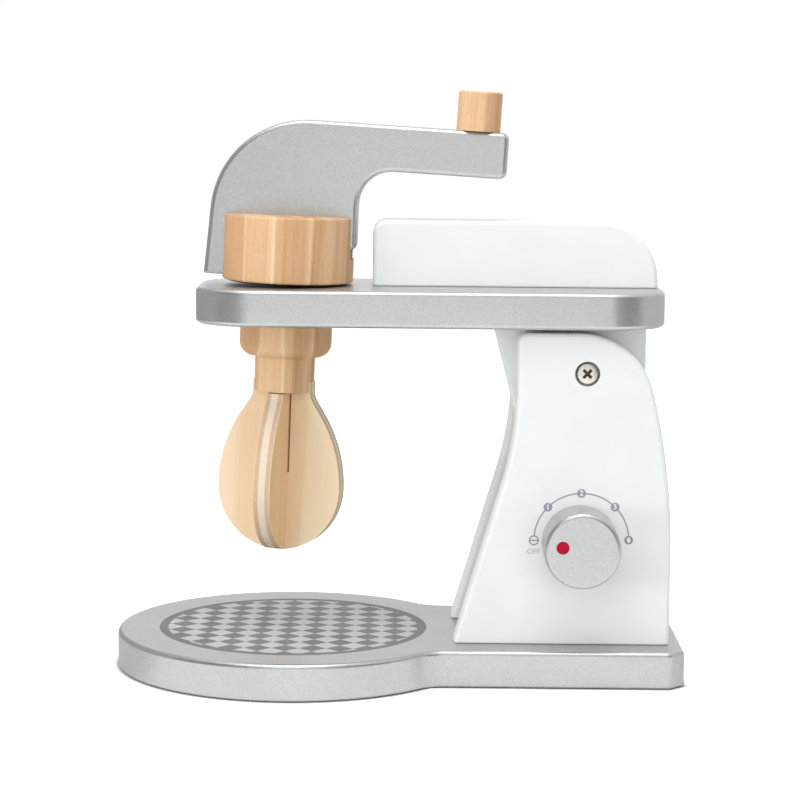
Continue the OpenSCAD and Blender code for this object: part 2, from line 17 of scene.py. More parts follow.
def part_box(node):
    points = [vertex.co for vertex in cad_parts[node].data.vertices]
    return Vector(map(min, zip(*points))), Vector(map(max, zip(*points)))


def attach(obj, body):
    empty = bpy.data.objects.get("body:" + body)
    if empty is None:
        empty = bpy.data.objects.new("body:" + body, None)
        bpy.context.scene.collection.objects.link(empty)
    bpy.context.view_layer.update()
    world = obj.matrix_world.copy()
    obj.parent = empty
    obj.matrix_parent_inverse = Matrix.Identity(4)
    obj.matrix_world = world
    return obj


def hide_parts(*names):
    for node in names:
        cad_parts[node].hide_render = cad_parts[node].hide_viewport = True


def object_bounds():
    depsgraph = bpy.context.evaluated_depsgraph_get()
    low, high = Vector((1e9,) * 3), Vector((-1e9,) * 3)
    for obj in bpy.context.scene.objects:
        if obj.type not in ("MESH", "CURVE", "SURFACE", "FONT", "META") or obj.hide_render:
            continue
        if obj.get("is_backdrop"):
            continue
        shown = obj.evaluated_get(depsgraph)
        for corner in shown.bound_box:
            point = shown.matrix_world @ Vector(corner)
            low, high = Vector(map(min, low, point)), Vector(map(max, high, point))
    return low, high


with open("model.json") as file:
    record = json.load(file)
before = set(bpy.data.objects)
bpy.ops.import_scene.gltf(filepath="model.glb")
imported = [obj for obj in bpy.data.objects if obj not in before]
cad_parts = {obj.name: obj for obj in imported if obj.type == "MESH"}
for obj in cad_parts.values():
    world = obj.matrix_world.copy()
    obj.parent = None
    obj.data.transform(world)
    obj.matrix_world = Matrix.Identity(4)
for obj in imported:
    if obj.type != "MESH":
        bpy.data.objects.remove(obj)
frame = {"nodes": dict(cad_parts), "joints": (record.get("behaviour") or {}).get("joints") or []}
cad_low, cad_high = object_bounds()
scene = bpy.context.scene
scene.view_settings.view_transform = "Standard"
MM = 0.001
print("frame of", len(frame["nodes"]), "nodes, size in mm", [round(s / MM, 1) for s in cad_high - cad_low])

# %% [markdown]
# The lesson thinks in millimetres, as the maker of a toy does, and scales each mesh to metres when it is
# finished. Two small helpers ask the frame for a node's box and for a joint, so that sizes are read and not
# repeated. The others turn by degrees, shift, find a point on a circle, and make an object of a mesh that
# is still being built.


# %% Ask the frame
def box_mm(node):
    low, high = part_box(node)
    return low / MM, high / MM


def joint(name):
    return next(j for j in frame["joints"] if j["name"] == name)


def rotate(degrees, axis):
    return Matrix.Rotation(math.radians(degrees), 4, axis)


def shift(x, y, z):
    return Matrix.Translation((x, y, z))


def polar(radius, degrees):
    angle = math.radians(degrees)
    return Vector((radius * math.cos(angle), radius * math.sin(angle), 0))


def shell(bm, name):
    mesh = bpy.data.meshes.new(name)
    bm.to_mesh(mesh)
    bm.free()
    thing = bpy.data.objects.new(name, mesh)
    scene.collection.objects.link(thing)
    return thing


UPRIGHT = rotate(90, "X")
base_low, base_high = box_mm("base_board")
panel_low, panel_high = box_mm("front_panel")
head_low, head_high = box_mm("head_board")
print("base", base_high - base_low, "head", head_high - head_low)

# %% [markdown]
# The photograph was taken with a long lens, from a little above the middle of the mixer. A long lens keeps
# the boards' edges nearly parallel. The camera is also turned by half a degree about its own view, as a
# hand would.

# %% Camera
PHOTO_SIDE = 800
FOCAL_PIXELS = 2450
SENSOR = 36
LOOK_DOWN = 6.98
ROLL = 0.55
CAMERA_AT = (0.4, -815.3, 189.18)
camera_data = bpy.data.cameras.new("camera")
camera_data.sensor_width = SENSOR
camera_data.lens = FOCAL_PIXELS * SENSOR / PHOTO_SIDE
camera = bpy.data.objects.new("camera", camera_data)
camera_turn = rotate(90 - LOOK_DOWN, "X") @ rotate(ROLL, "Z")
camera.matrix_world = Matrix.Translation(Vector(CAMERA_AT) * MM) @ camera_turn
scene.collection.objects.link(camera)
scene.camera = camera
print("lens", round(camera_data.lens, 2), "mm")

# %% [markdown]
# Every finish below is a small tree of shader nodes. One helper adds a node and fills its inputs, with
# plain values or with links, and most of the others are short names for one kind of node. A node group is
# how several finishes share one effect.


# %% Node helpers
def feed(tree, socket, value):
    if isinstance(value, bpy.types.NodeSocket):
        tree.links.new(value, socket)
    else:
        socket.default_value = value


def add(tree, kind, inputs=(), **settings):
    made = tree.nodes.new("ShaderNode" + kind)
    for name, value in settings.items():
        setattr(made, name, value)
    for key, value in dict(inputs).items():
        feed(tree, made.inputs[key], value)
    return made


def maths(tree, operation, a, b=0.0):
    return add(tree, "Math", {0: a, 1: b}, operation=operation).outputs[0]


def plus(tree, a, b):
    return maths(tree, "ADD", a, b)


def minus(tree, a, b):
    return maths(tree, "SUBTRACT", a, b)


def times(tree, a, b):
    return maths(tree, "MULTIPLY", a, b)


def hypotenuse(tree, x, y):
    squares = plus(tree, times(tree, x, x), times(tree, y, y))
    return maths(tree, "SQRT", squares)


def vectors(tree, operation, a, b):
    return add(tree, "VectorMath", {0: a, 1: b}, operation=operation).outputs[0]


def axes(tree, vector):
    return add(tree, "SeparateXYZ", {0: vector}).outputs


def noise(tree, place, scale, detail, roughness=0.5, dimensions="3D"):
    key = "W" if dimensions == "1D" else "Vector"
    inputs = {key: place, "Scale": scale, "Detail": detail, "Roughness": roughness}
    return add(tree, "TexNoise", inputs, noise_dimensions=dimensions).outputs["Fac"]


def ramp(tree, value, low, high, to_low=0.0, to_high=1.0, smooth=True):
    inputs = {"Value": value, "From Min": low, "From Max": high, "To Min": to_low, "To Max": to_high}
    style = "SMOOTHSTEP" if smooth else "LINEAR"
    return add(tree, "MapRange", inputs, interpolation_type=style).outputs["Result"]


def step(tree, value, edge, soft, *ends):
    return ramp(tree, value, edge - soft, edge + soft, *ends)


def mix(tree, factor, a, b, blend="MIX"):
    return add(tree, "Mix", {0: factor, 6: a, 7: b}, data_type="RGBA", blend_type=blend).outputs[2]


def new_group(name, inputs, outputs):
    tree = bpy.data.node_groups.new(name, "ShaderNodeTree")
    for label, kind in inputs:
        tree.interface.new_socket(label, in_out="INPUT", socket_type="NodeSocket" + kind)
    for label, kind in outputs:
        tree.interface.new_socket(label, in_out="OUTPUT", socket_type="NodeSocket" + kind)
    return tree, tree.nodes.new("NodeGroupInput").outputs, tree.nodes.new("NodeGroupOutput").inputs


def use_group(tree, group, inputs):
    return add(tree, "Group", inputs, node_tree=group).outputs


def grey(value):
    return (value, value, value, 1)


def blank_material(name):
    material = bpy.data.materials.new(name)
    material.use_nodes = True
    material.node_tree.nodes.clear()
    return material, material.node_tree


def show(tree, output, kind="OutputMaterial"):
    tree.links.new(output, add(tree, kind).inputs["Surface"])


print("node helpers ready")

# %% [markdown]
# The stage is a white sweep with soft light. The camera and every mirror see plain white around the mixer.
# The light that falls on it is softer, strongest from behind, where the lit backdrop is, and weakest from
# the right.

# %% Surroundings
world = bpy.data.worlds.new("studio")
scene.world = world
world.use_nodes = True
sky = world.node_tree
sky.nodes.clear()
direction = axes(sky, add(sky, "TexCoord").outputs["Generated"])
SIDE_LIGHT = 0.80
TOP_LIGHT = 0.72
ROUND_LIGHT = 0.66
BACK_LIGHT = 0.15
RIGHT_SHADE = 0.24
side = ramp(sky, maths(sky, "ABSOLUTE", direction["X"]), 0.45, 0.85)
around = ramp(sky, side, 0, 1, ROUND_LIGHT, SIDE_LIGHT, smooth=False)
around = plus(sky, around, ramp(sky, direction["Y"], 0.1, 0.6, 0, BACK_LIGHT))
around = minus(sky, around, ramp(sky, direction["X"], 0.3, 0.8, 0, RIGHT_SHADE))
above = ramp(sky, direction["Z"], 0.35, 0.8)
studio = mix(sky, above, around, grey(TOP_LIGHT))
rays = add(sky, "LightPath").outputs
seen = maths(sky, "MAXIMUM", rays["Is Camera Ray"], rays["Is Glossy Ray"])
seen = maths(sky, "MAXIMUM", seen, rays["Is Transmission Ray"])
background = add(sky, "Background", {"Color": mix(sky, seen, studio, grey(1)), "Strength": 1.0})
show(sky, background.outputs[0], "OutputWorld")
print("studio sides at", SIDE_LIGHT, "of white")

# %% [markdown]
# The floor is matt white. It takes the mixer's shadow, and a little glow that only the camera and mirrors
# see lifts it to the photograph's clean white. The glow stops short of the base board, whose outline is a
# disc and a rectangle, so that the thin dark line where wood meets table stays.

# %% Floor
FLOOR_SIZE = 6.0
FLOOR_COLOUR = 0.62
FLOOR_GLOW = 0.74
FLOOR_DROP = 0.2
floor_bm = bmesh.new()
bmesh.ops.create_grid(floor_bm, x_segments=1, y_segments=1, size=FLOOR_SIZE / 2)
floor = shell(floor_bm, "floor")
floor.location.z = -FLOOR_DROP * MM
floor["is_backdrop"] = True
floor_material, sheet = blank_material("floor_white")
rays = add(sheet, "LightPath").outputs
mirrored = maths(sheet, "MAXIMUM", rays["Is Glossy Ray"], rays["Is Transmission Ray"])
at = axes(sheet, add(sheet, "TexCoord").outputs["Object"])
DISC_R = (base_high.y - base_low.y) / 2
TAIL_HALF = 37
TAIL_CUT = 5
CONTACT = 2.0
FRONT_GLOW = (-0.052, -0.020)
SIDE_GLOW = 0.2
disc_x = base_low.x + DISC_R
off_disc = hypotenuse(sheet, minus(sheet, at["X"], disc_x * MM), at["Y"])
off_disc = minus(sheet, off_disc, DISC_R * MM)
from_mid = maths(sheet, "ABSOLUTE", at["Y"])
off_tail = minus(sheet, from_mid, TAIL_HALF * MM)
off_tail = maths(sheet, "MAXIMUM", off_tail, minus(sheet, at["X"], base_high.x * MM))
off_tail = maths(sheet, "MAXIMUM", off_tail, minus(sheet, disc_x * MM, at["X"]))
off_corner = plus(sheet, at["X"], from_mid)
off_corner = minus(sheet, off_corner, (base_high.x + TAIL_HALF - TAIL_CUT) * MM)
off_tail = maths(sheet, "MAXIMUM", off_tail, times(sheet, off_corner, math.sqrt(0.5)))
clear = ramp(sheet, maths(sheet, "MINIMUM", off_disc, off_tail), 0, CONTACT * MM)
in_front = ramp(sheet, at["Y"], *FRONT_GLOW, 1, SIDE_GLOW)
seen = maths(sheet, "MAXIMUM", rays["Is Camera Ray"], times(sheet, mirrored, in_front))
seen = times(sheet, seen, clear)
matt = add(sheet, "BsdfDiffuse", {"Color": grey(FLOOR_COLOUR)}).outputs[0]
glow = times(sheet, seen, FLOOR_GLOW)
glow = add(sheet, "Emission", {"Color": grey(1), "Strength": glow}).outputs[0]
show(sheet, add(sheet, "AddShader", {0: matt, 1: glow}).outputs[0])
floor.data.materials.append(floor_material)
print("floor", FLOOR_SIZE, "m")

# %% [markdown]
# Polished and painted metal looks flat where it mirrors nothing but white. A photographer puts dark cards,
# called flags, beside it, and the rounded ends then turn from light to dark. These are curved walls that
# only mirrors see. Each gives off its own level of grey, so the lamps don't change it. The table holds
# where a flag starts, how far it goes round, both in degrees, its height and its grey.

# %% Flags
FLAG_AWAY = 0.50
FLAG_STEPS = 24
HIDDEN_FROM = ("camera", "diffuse", "transmission", "shadow", "volume_scatter")
FLAGS = {
    "flag_left": (-24, -50, 0.62, 0.10),
    "flag_left_back": (-74, -78, 0.62, 0.40),
    "flag_right": (21, 46, 0.34, 0.10),
    "flag_right_back": (67, 58, 0.34, 0.78),
}
for name, (start, arc, height, level) in FLAGS.items():
    bm = bmesh.new()
    foot = bm.verts.new(polar(FLAG_AWAY, start - 90))
    top = bmesh.ops.extrude_vert_indiv(bm, verts=[foot])["verts"][0]
    top.co.z += height
    bmesh.ops.spin(bm, geom=bm.verts[:] + bm.edges[:], cent=(0, 0, 0), axis=(0, 0, 1),
                   angle=math.radians(arc), steps=FLAG_STEPS)
    card = shell(bm, name)
    for ray in HIDDEN_FROM:
        setattr(card, "visible_" + ray, False)
    card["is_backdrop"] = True
    material, cloth = blank_material(name)
    show(cloth, add(cloth, "Emission", {"Color": grey(level), "Strength": 1.0}).outputs[0])
    card.data.materials.append(material)
print("flags at", FLAG_AWAY, "m")

# %% [markdown]
# Soft lamps give the light its direction: a wide one overhead, a key from the left in front, and two low
# ones that reach under the head board and between the panels. The low ones stay out of mirrors, as a lamp
# behind a flag would. The table holds each lamp's place, its size and its power.

# %% Lamps
MIDDLE = Vector((0, 0, 0.09))
LAMPS = {
    "overhead": ((-0.05, -0.30, 1.05), 0.75, 5.7),
    "key": ((-0.75, -1.00, 0.75), 0.7, 1.9),
    "low_left": ((-1.30, -0.75, 0.15), 0.5, 6.2),
    "low_right": ((0.60, -1.20, 0.25), 0.6, 2.0),
}
for name, (place, size, watts) in LAMPS.items():
    data = bpy.data.lights.new(name, "AREA")
    data.shape = "DISK"
    data.size = size
    data.energy = watts
    lamp = bpy.data.objects.new(name, data)
    lamp.location = place
    lamp.rotation_euler = (MIDDLE - Vector(place)).to_track_quat("-Z", "Y").to_euler()
    lamp.visible_glossy = not name.startswith("low")
    scene.collection.objects.link(lamp)

# %% [markdown]
# Silver paint is clear lacquer full of tiny metal flakes that lie at slightly different angles. A cell
# pattern gives every flake its own brightness and its own tilt. The same group can serve any flaked paint,
# at any flake size.

# %% Flake group
tree, given, made = new_group(
    "paint_flakes",
    [("Vector", "Vector"), ("Flakes per mm", "Float"), ("Contrast", "Float"), ("Tilt", "Float")],
    [("Shade", "Float"), ("Normal", "Vector")],
)
cells = add(tree, "TexVoronoi", {"Vector": given["Vector"], "Scale": given["Flakes per mm"]})
random = add(tree, "SeparateColor", {0: cells.outputs["Color"]}).outputs["Red"]
flake = minus(tree, random, 0.5)
shade = plus(tree, times(tree, flake, given["Contrast"]), 1.0)
tree.links.new(shade, made["Shade"])
lean = vectors(tree, "SUBTRACT", cells.outputs["Color"], (0.5, 0.5, 0.5))
lean = add(tree, "VectorMath", {0: lean, "Scale": given["Tilt"]}, operation="SCALE").outputs[0]
tilted = vectors(tree, "ADD", add(tree, "NewGeometry").outputs["Normal"], lean)
tilted = add(tree, "VectorMath", {0: tilted}, operation="NORMALIZE")
tree.links.new(tilted.outputs[0], made["Normal"])
flake_group = tree
print("group", flake_group.name)

# %% [markdown]
# Wood shows several things at once: growth rings, broad bands of them, now and then a cream stripe of
# sapwood, long thin streaks along the fibres and short dark flecks. Rings, bands and sapwood all follow one
# distance across the rings, so they run on over an end as they do in a real log. The rest is noise
# stretched along the grain, the group's Z axis.

# %% Wood group
FIBRE = (1, 1, 0.045)
DASH = (3.2, 3.2, 0.55)
RING_SLANT = 0.55
RING_DRIFT = 16.0
RING_SHARE = 0.22
STREAK_SHARE = 0.20
BAND_SHARE = 0.58
PORE_DEPTH = 0.6
tree, given, made = new_group(
    "wood_grain",
    [("Vector", "Vector"), ("Ring width", "Float"), ("Seed", "Float")],
    [("Tone", "Float"), ("Cream", "Float"), ("Fleck", "Float"), ("Height", "Float")],
)
place = vectors(tree, "ADD", given["Vector"], given["Seed"])
along = vectors(tree, "MULTIPLY", place, FIBRE)
drift = noise(tree, along, 0.09, 2.0)
across = axes(tree, along)
into = plus(tree, across["X"], times(tree, across["Y"], RING_SLANT))
into = plus(tree, into, times(tree, drift, RING_DRIFT))
ring = maths(tree, "FRACT", maths(tree, "DIVIDE", into, given["Ring width"]))
streak = noise(tree, along, 1.3, 5.0, 0.62)
broad = noise(tree, into, 0.12, 1.0, dimensions="1D")
tone = times(tree, ring, RING_SHARE)
tone = plus(tree, tone, ramp(tree, streak, 0.3, 0.7, 0, STREAK_SHARE))
tone = plus(tree, tone, ramp(tree, broad, 0.40, 0.60, 0, BAND_SHARE))
sap = noise(tree, into, 0.16, 2.0, dimensions="1D")
tree.links.new(ramp(tree, sap, 0.55, 0.74), made["Cream"])
tree.links.new(tone, made["Tone"])
dash = vectors(tree, "MULTIPLY", place, DASH)
fleck = noise(tree, dash, 1.0, 1.0)
fleck = ramp(tree, fleck, 0.62, 0.72)
tree.links.new(fleck, made["Fleck"])
height = minus(tree, streak, times(tree, fleck, PORE_DEPTH))
tree.links.new(height, made["Height"])
grain_group = tree
print("group", grain_group.name)

# %% [markdown]
# Paint that was sprayed on wood dries with a faint orange peel.
# This group puts out that height and a very light mottle for the colour.

# %% Sprayed paint group
tree, given, made = new_group(
    "sprayed_paint",
    [("Vector", "Vector"), ("Peel size", "Float")],
    [("Mottle", "Float"), ("Height", "Float")],
)
peel_scale = maths(tree, "DIVIDE", 1.0, given["Peel size"])
peel = noise(tree, given["Vector"], peel_scale, 2.0)
mottle = noise(tree, given["Vector"], 0.06, 4.0)
tree.links.new(mottle, made["Mottle"])
tree.links.new(peel, made["Height"])
spray_group = tree
print("group", spray_group.name)

# %% [markdown]
# Every material starts alike: a Principled shader, and coordinates in millimetres. A Mapping node of the
# Texture kind undoes a piece's own place and turn, so the pattern of a leaning piece leans with it.


# %% Material starter
def start_material(name, place=Matrix.Identity(4)):
    material, tree = blank_material(name)
    shader = add(tree, "BsdfPrincipled")
    show(tree, shader.outputs[0])
    mapping = add(tree, "Mapping", {
        "Vector": add(tree, "TexCoord").outputs["Object"], "Location": place.to_translation() * MM,
        "Rotation": place.to_euler("XYZ"), "Scale": (MM, MM, MM)}, vector_type="TEXTURE")
    return material, tree, shader, mapping.outputs[0]


def connect(tree, shader, **sockets):
    for name, value in sockets.items():
        feed(tree, shader.inputs[name.replace("_", " ")], value)


def bump(tree, height, strength, depth_mm, **more):
    inputs = {"Height": height, "Strength": strength, "Distance": depth_mm * MM, **more}
    return add(tree, "Bump", inputs).outputs[0]


print("material starter ready")

# %% [markdown]
# The silver paint is mostly metal in a clear lacquer. The base board carries a print on top of it: a ring
# and a harlequin check of two greys, worked out from the distance to the round end's middle and from two
# folded coordinates.

# %% Silver paint
SILVER = (0.490, 0.505, 0.503, 1)
PRINT_GREY = (0.088, 0.088, 0.095, 1)
PRINT_PALE = (0.480, 0.480, 0.473, 1)
PRINT_R = 45.1
PRINT_RING = 3.0
DIAMOND = 8.9
DIAMOND_X = -1.2
DIAMOND_Y = 1.1
PRINT_SOFT = 0.06
CHECK_SOFT = 0.01
PRINT_SKIN = 0.2
PRINT_DULLS = 0.6
PRINT_MATTS = 0.3
PRINT_GRAZING = 0.84
SILVER_METAL = 0.80
SILVER_GLOSS = 0.5


def folded(tree, value, period):
    share = maths(tree, "FRACT", maths(tree, "DIVIDE", value, period))
    return maths(tree, "ABSOLUTE", minus(tree, share, 0.5))


def print_masks(tree, vector):
    at = axes(tree, vector)
    x = minus(tree, at["X"], disc_x)
    y = at["Y"]
    far = hypotenuse(tree, x, y)
    on_top = maths(tree, "GREATER_THAN", at["Z"], base_high.z - PRINT_SKIN)
    inside = times(tree, on_top, step(tree, far, PRINT_R, PRINT_SOFT, 1, 0))
    rim = step(tree, far, PRINT_R - PRINT_RING, PRINT_SOFT)
    check = plus(tree, folded(tree, minus(tree, x, DIAMOND_X), DIAMOND),
                 folded(tree, minus(tree, y, DIAMOND_Y), DIAMOND))
    check = step(tree, check, 0.5, CHECK_SOFT)
    dark = times(tree, maths(tree, "MAXIMUM", rim, check), inside)
    return inside, dark


def silver_paint(name, with_print=False):
    material, tree, shader, vector = start_material(name)
    inputs = {"Vector": vector, "Flakes per mm": 3.6, "Contrast": 0.20, "Tilt": 0.05}
    flakes = use_group(tree, flake_group, inputs)
    spray = use_group(tree, spray_group, {"Vector": vector, "Peel size": 1.6})
    metal, gloss, grazing = SILVER_METAL, SILVER_GLOSS, 1.0
    colour = mix(tree, 1.0, SILVER, flakes["Shade"], blend="MULTIPLY")
    if with_print:
        inside, dark = print_masks(tree, vector)
        colour = mix(tree, inside, colour, mix(tree, dark, PRINT_PALE, PRINT_GREY))
        metal = minus(tree, metal, times(tree, inside, PRINT_DULLS))
        gloss = minus(tree, gloss, times(tree, inside, PRINT_MATTS))
        grazing = PRINT_GRAZING
    rough = ramp(tree, spray["Mottle"], 0.3, 0.7, 0.31, 0.37)
    peel = bump(tree, spray["Height"], 0.06, 0.2, Normal=flakes["Normal"])
    connect(tree, shader, Base_Color=colour, Metallic=metal, Roughness=rough, Normal=peel,
            Specular_IOR_Level=gloss, Specular_Tint=grey(grazing), Coat_Weight=0.10, Coat_Roughness=0.15)
    return material


silver = silver_paint("silver_paint")
silver_printed = silver_paint("silver_paint_printed", with_print=True)
print("silver paint, print of", 2 * PRINT_R, "mm across")

# %% [markdown]
# The white paint is a satin spray coat. It is a touch cool, and its height comes from the same spray group,
# so light that grazes a panel is not perfectly even.


# %% White paint
WHITE = (0.820, 0.852, 0.850, 1)
WHITE_SHADE = (0.795, 0.828, 0.828, 1)


def white_paint(name):
    material, tree, shader, vector = start_material(name)
    spray = use_group(tree, spray_group, {"Vector": vector, "Peel size": 1.3})
    colour = mix(tree, ramp(tree, spray["Mottle"], 0.35, 0.65), WHITE, WHITE_SHADE)
    rough = ramp(tree, spray["Mottle"], 0.3, 0.7, 0.34, 0.42)
    connect(tree, shader, Base_Color=colour, Roughness=rough, Normal=bump(tree, spray["Height"], 0.05, 0.2),
            Coat_Weight=0.08, Coat_Roughness=0.2)
    return material


white = white_paint("white_paint")
print("white paint")

# %% [markdown]
# The turned pieces are pale hardwood under matt lacquer. Each has its own place, turn and seed in the grain
# group, so the hub, the peg and the spindle look as if they were cut from different rods.


# %% Turned wood
WOOD_PALE = (0.80, 0.530, 0.312, 1)
WOOD_DEEP = (0.545, 0.298, 0.138, 1)
WOOD_CREAM = (0.90, 0.70, 0.46, 1)
WOOD_FLECK = (0.40, 0.215, 0.105, 1)
CREAM_SHARE = 0.6
FLECK_SHARE = 0.32


def turned_wood(name, place, seed, ring_width=7.0):
    material, tree, shader, vector = start_material(name, place)
    grain = use_group(tree, grain_group, {"Vector": vector, "Ring width": ring_width, "Seed": seed})
    colour = mix(tree, grain["Tone"], WOOD_PALE, WOOD_DEEP)
    colour = mix(tree, times(tree, grain["Cream"], CREAM_SHARE), colour, WOOD_CREAM)
    colour = mix(tree, times(tree, grain["Fleck"], FLECK_SHARE), colour, WOOD_FLECK)
    rough = ramp(tree, grain["Tone"], 0, 1, 0.46, 0.58, smooth=False)
    connect(tree, shader, Base_Color=colour, Roughness=rough, Normal=bump(tree, grain["Height"], 0.12, 0.15),
            Specular_IOR_Level=0.4)
    return material


print("turned wood ready")

# %% [markdown]
# Plywood has two faces and an edge. On a face the veneer's fine grain shows. On the edge the plies show as
# stripes: a cream core between two browner plies. The coordinate across the sheet tells the shader where it
# is.


# %% Plywood
PLY_FACE = (0.915, 0.740, 0.530, 1)
PLY_FACE_DEEP = (0.830, 0.640, 0.420, 1)
# Painted shade: a warmer, darker tint for a plate's faces, standing in for shade and warm bounce light.
PLY_PAINTED_SHADE = (0.96, 0.84, 0.66, 1)
PLY_CORE = (0.770, 0.660, 0.505, 1)
PLY_OUTER = (0.590, 0.410, 0.285, 1)
PLY_GLUE = (0.420, 0.290, 0.200, 1)
PLY_HALF = 3.0
CORE_HALF = 1.25
VENEER = 0.35
EDGE_GLOSS = 0.05
FACE_GLOSS = 0.35
PLY_OUTER_PALE = (0.65, 0.48, 0.355, 1)
PLY_CORE_PALE = (0.78, 0.67, 0.50, 1)
PLY_SOFT = 0.08
PLY_WOBBLE = 0.25
PLY_RING = 19.0
GLUE_LINE = (0.02, 0.12)
GLUE_SHARE = 0.45


def plywood(name, place, seed, painted_shade=0.0):
    material, tree, shader, vector = start_material(name, place)
    grain = use_group(tree, grain_group, {"Vector": vector, "Ring width": PLY_RING, "Seed": seed})
    across = axes(tree, vector)["Y"]
    wobble = noise(tree, vector, 0.35, 2.0)
    wobble = times(tree, minus(tree, wobble, 0.5), PLY_WOBBLE)
    depth = maths(tree, "ABSOLUTE", plus(tree, across, wobble))
    fibre = noise(tree, vector, 1.6, 4.0)
    pale = ramp(tree, fibre, 0.35, 0.65)
    outer = mix(tree, pale, PLY_OUTER, PLY_OUTER_PALE)
    core = mix(tree, pale, PLY_CORE, PLY_CORE_PALE)
    edge = mix(tree, step(tree, depth, CORE_HALF, PLY_SOFT), core, outer)
    glue = maths(tree, "ABSOLUTE", minus(tree, depth, CORE_HALF))
    glue = ramp(tree, glue, *GLUE_LINE, GLUE_SHARE, 0)
    edge = mix(tree, glue, edge, PLY_GLUE)
    face = mix(tree, grain["Tone"], PLY_FACE, PLY_FACE_DEEP)
    # Painted shade: the last argument multiplies the face colour by that warmer, darker tint.
    face = mix(tree, painted_shade, face, PLY_PAINTED_SHADE, blend="MULTIPLY")
    on_face = step(tree, maths(tree, "ABSOLUTE", across), PLY_HALF - VENEER, PLY_SOFT)
    colour = mix(tree, on_face, edge, face)
    rough = ramp(tree, grain["Tone"], 0, 1, 0.5, 0.62, smooth=False)
    connect(tree, shader, Base_Color=colour, Roughness=rough,
            Normal=bump(tree, grain["Height"], 0.10, 0.12),
            Specular_IOR_Level=ramp(tree, on_face, 0, 1, EDGE_GLOSS, FACE_GLOSS, smooth=False))
    return material


print("plywood ready")

# %% [markdown]
# Small finishes: nickel on the screws, black rubber under the hub, red paint for the dot and grey ink for
# the dial. The rubber's black also stands in for the shade in the gap under the hub, and a screw's finish
# can darken below the head's face, which is painted shade in its cross and its recess.


# %% Small finishes
# Painted shade: the dark colour a screw takes below its head's face, and the depths over which it fades in.
PAINTED_RECESS_SHADE = (0.060, 0.055, 0.046, 1)
PAINTED_SHADE_DEPTHS = (0.7, 0.3)


def small_finish(name, dark, pale, rough, metallic=0.0, scale=1.5, specular=0.5, face=None):
    material, tree, shader, vector = start_material(name)
    cloud = noise(tree, vector, scale, 4.0)
    colour = mix(tree, ramp(tree, cloud, 0.3, 0.7), dark, pale)
    if face:
        # Painted shade: below the head's face the colour turns dark, standing in for the shade in the cross
        # and the recess.
        out = maths(tree, "ABSOLUTE", axes(tree, vector)["Y"])
        colour = mix(tree, ramp(tree, out, *[face - deep for deep in PAINTED_SHADE_DEPTHS]), PAINTED_RECESS_SHADE, colour)
    connect(tree, shader, Base_Color=colour, Metallic=metallic,
            Roughness=ramp(tree, cloud, 0.3, 0.7, rough - 0.05, rough + 0.05),
            Normal=bump(tree, cloud, 0.06, 0.1), Specular_IOR_Level=specular)
    return material


nickel = small_finish("nickel_plate", (0.55, 0.52, 0.47, 1), (0.68, 0.65, 0.60, 1), 0.27, metallic=1.0)
# Painted shade: the washer is made fully black, so that it also stands in for the shade in the gap under the
# hub.
washer_black_and_gap_shade = small_finish("black_washer_and_gap_shade", (0.010, 0.010, 0.010, 1), (0.016, 0.015, 0.014, 1), 0.75, specular=0.15)
red = small_finish("red_paint", (0.400, 0.006, 0.026, 1), (0.440, 0.008, 0.032, 1), 0.55, specular=0.1)
ink = small_finish("dial_ink", (0.300, 0.300, 0.365, 1), (0.340, 0.340, 0.405, 1), 0.6, scale=4.0,
                   specular=0.1)
pale_ink = small_finish("pale_ink", (0.500, 0.510, 0.540, 1), (0.550, 0.560, 0.590, 1), 0.6, scale=4.0,
                        specular=0.1)
print("small finishes", nickel.name, washer_black_and_gap_shade.name, red.name, ink.name)

# %% [markdown]
# A board starts as an outline. It could be typed in as a long list of points, but a maker thinks in corners
# and radii, so a pen draws it: straight strokes extrude a vertex, and round strokes spin it about a centre.
# Each arc gets just enough steps to stay within a hundredth of a millimetre of the true circle.

# %% Pen
ARC_ERROR = 0.01
SAME = 1e-6
WELD = 1e-4
PEN_WELD = 1e-3
LATHE_WELD = 1e-5


def only(kind, geometry):
    return [g for g in geometry if isinstance(g, kind)]


def weld(bm, distance):
    bmesh.ops.remove_doubles(bm, verts=bm.verts[:], dist=distance)


def face_out(bm):
    bmesh.ops.recalc_face_normals(bm, faces=bm.faces[:])


def stroke(bm, pen, x, y):
    if (pen.co.xy - Vector((x, y))).length < SAME:
        return pen
    tip = bmesh.ops.extrude_vert_indiv(bm, verts=[pen])["verts"][0]
    tip.co = (x, y, 0)
    return tip


def sweep(bm, pen, centre, degrees):
    centre = Vector((*centre, 0))
    stride = 2 * math.acos(1 - ARC_ERROR / (pen.co - centre).length)
    angle = math.radians(degrees)
    steps = max(3, math.ceil(abs(angle) / stride))
    swept = bmesh.ops.spin(bm, geom=[pen], cent=centre, axis=(0, 0, 1), angle=angle, steps=steps)
    return only(bmesh.types.BMVert, swept["geom_last"])[0]


def rounding(before, corner, after, radius):
    u = (before - corner).normalized()
    w = (after - corner).normalized()
    half = u.angle(w) / 2
    start = corner + u * radius / math.tan(half)
    centre = corner + (u + w).normalized() * radius / math.sin(half)
    left = (corner - before).cross(after - corner).z > 0
    return start, centre, math.degrees(math.pi - 2 * half) * (1 if left else -1)


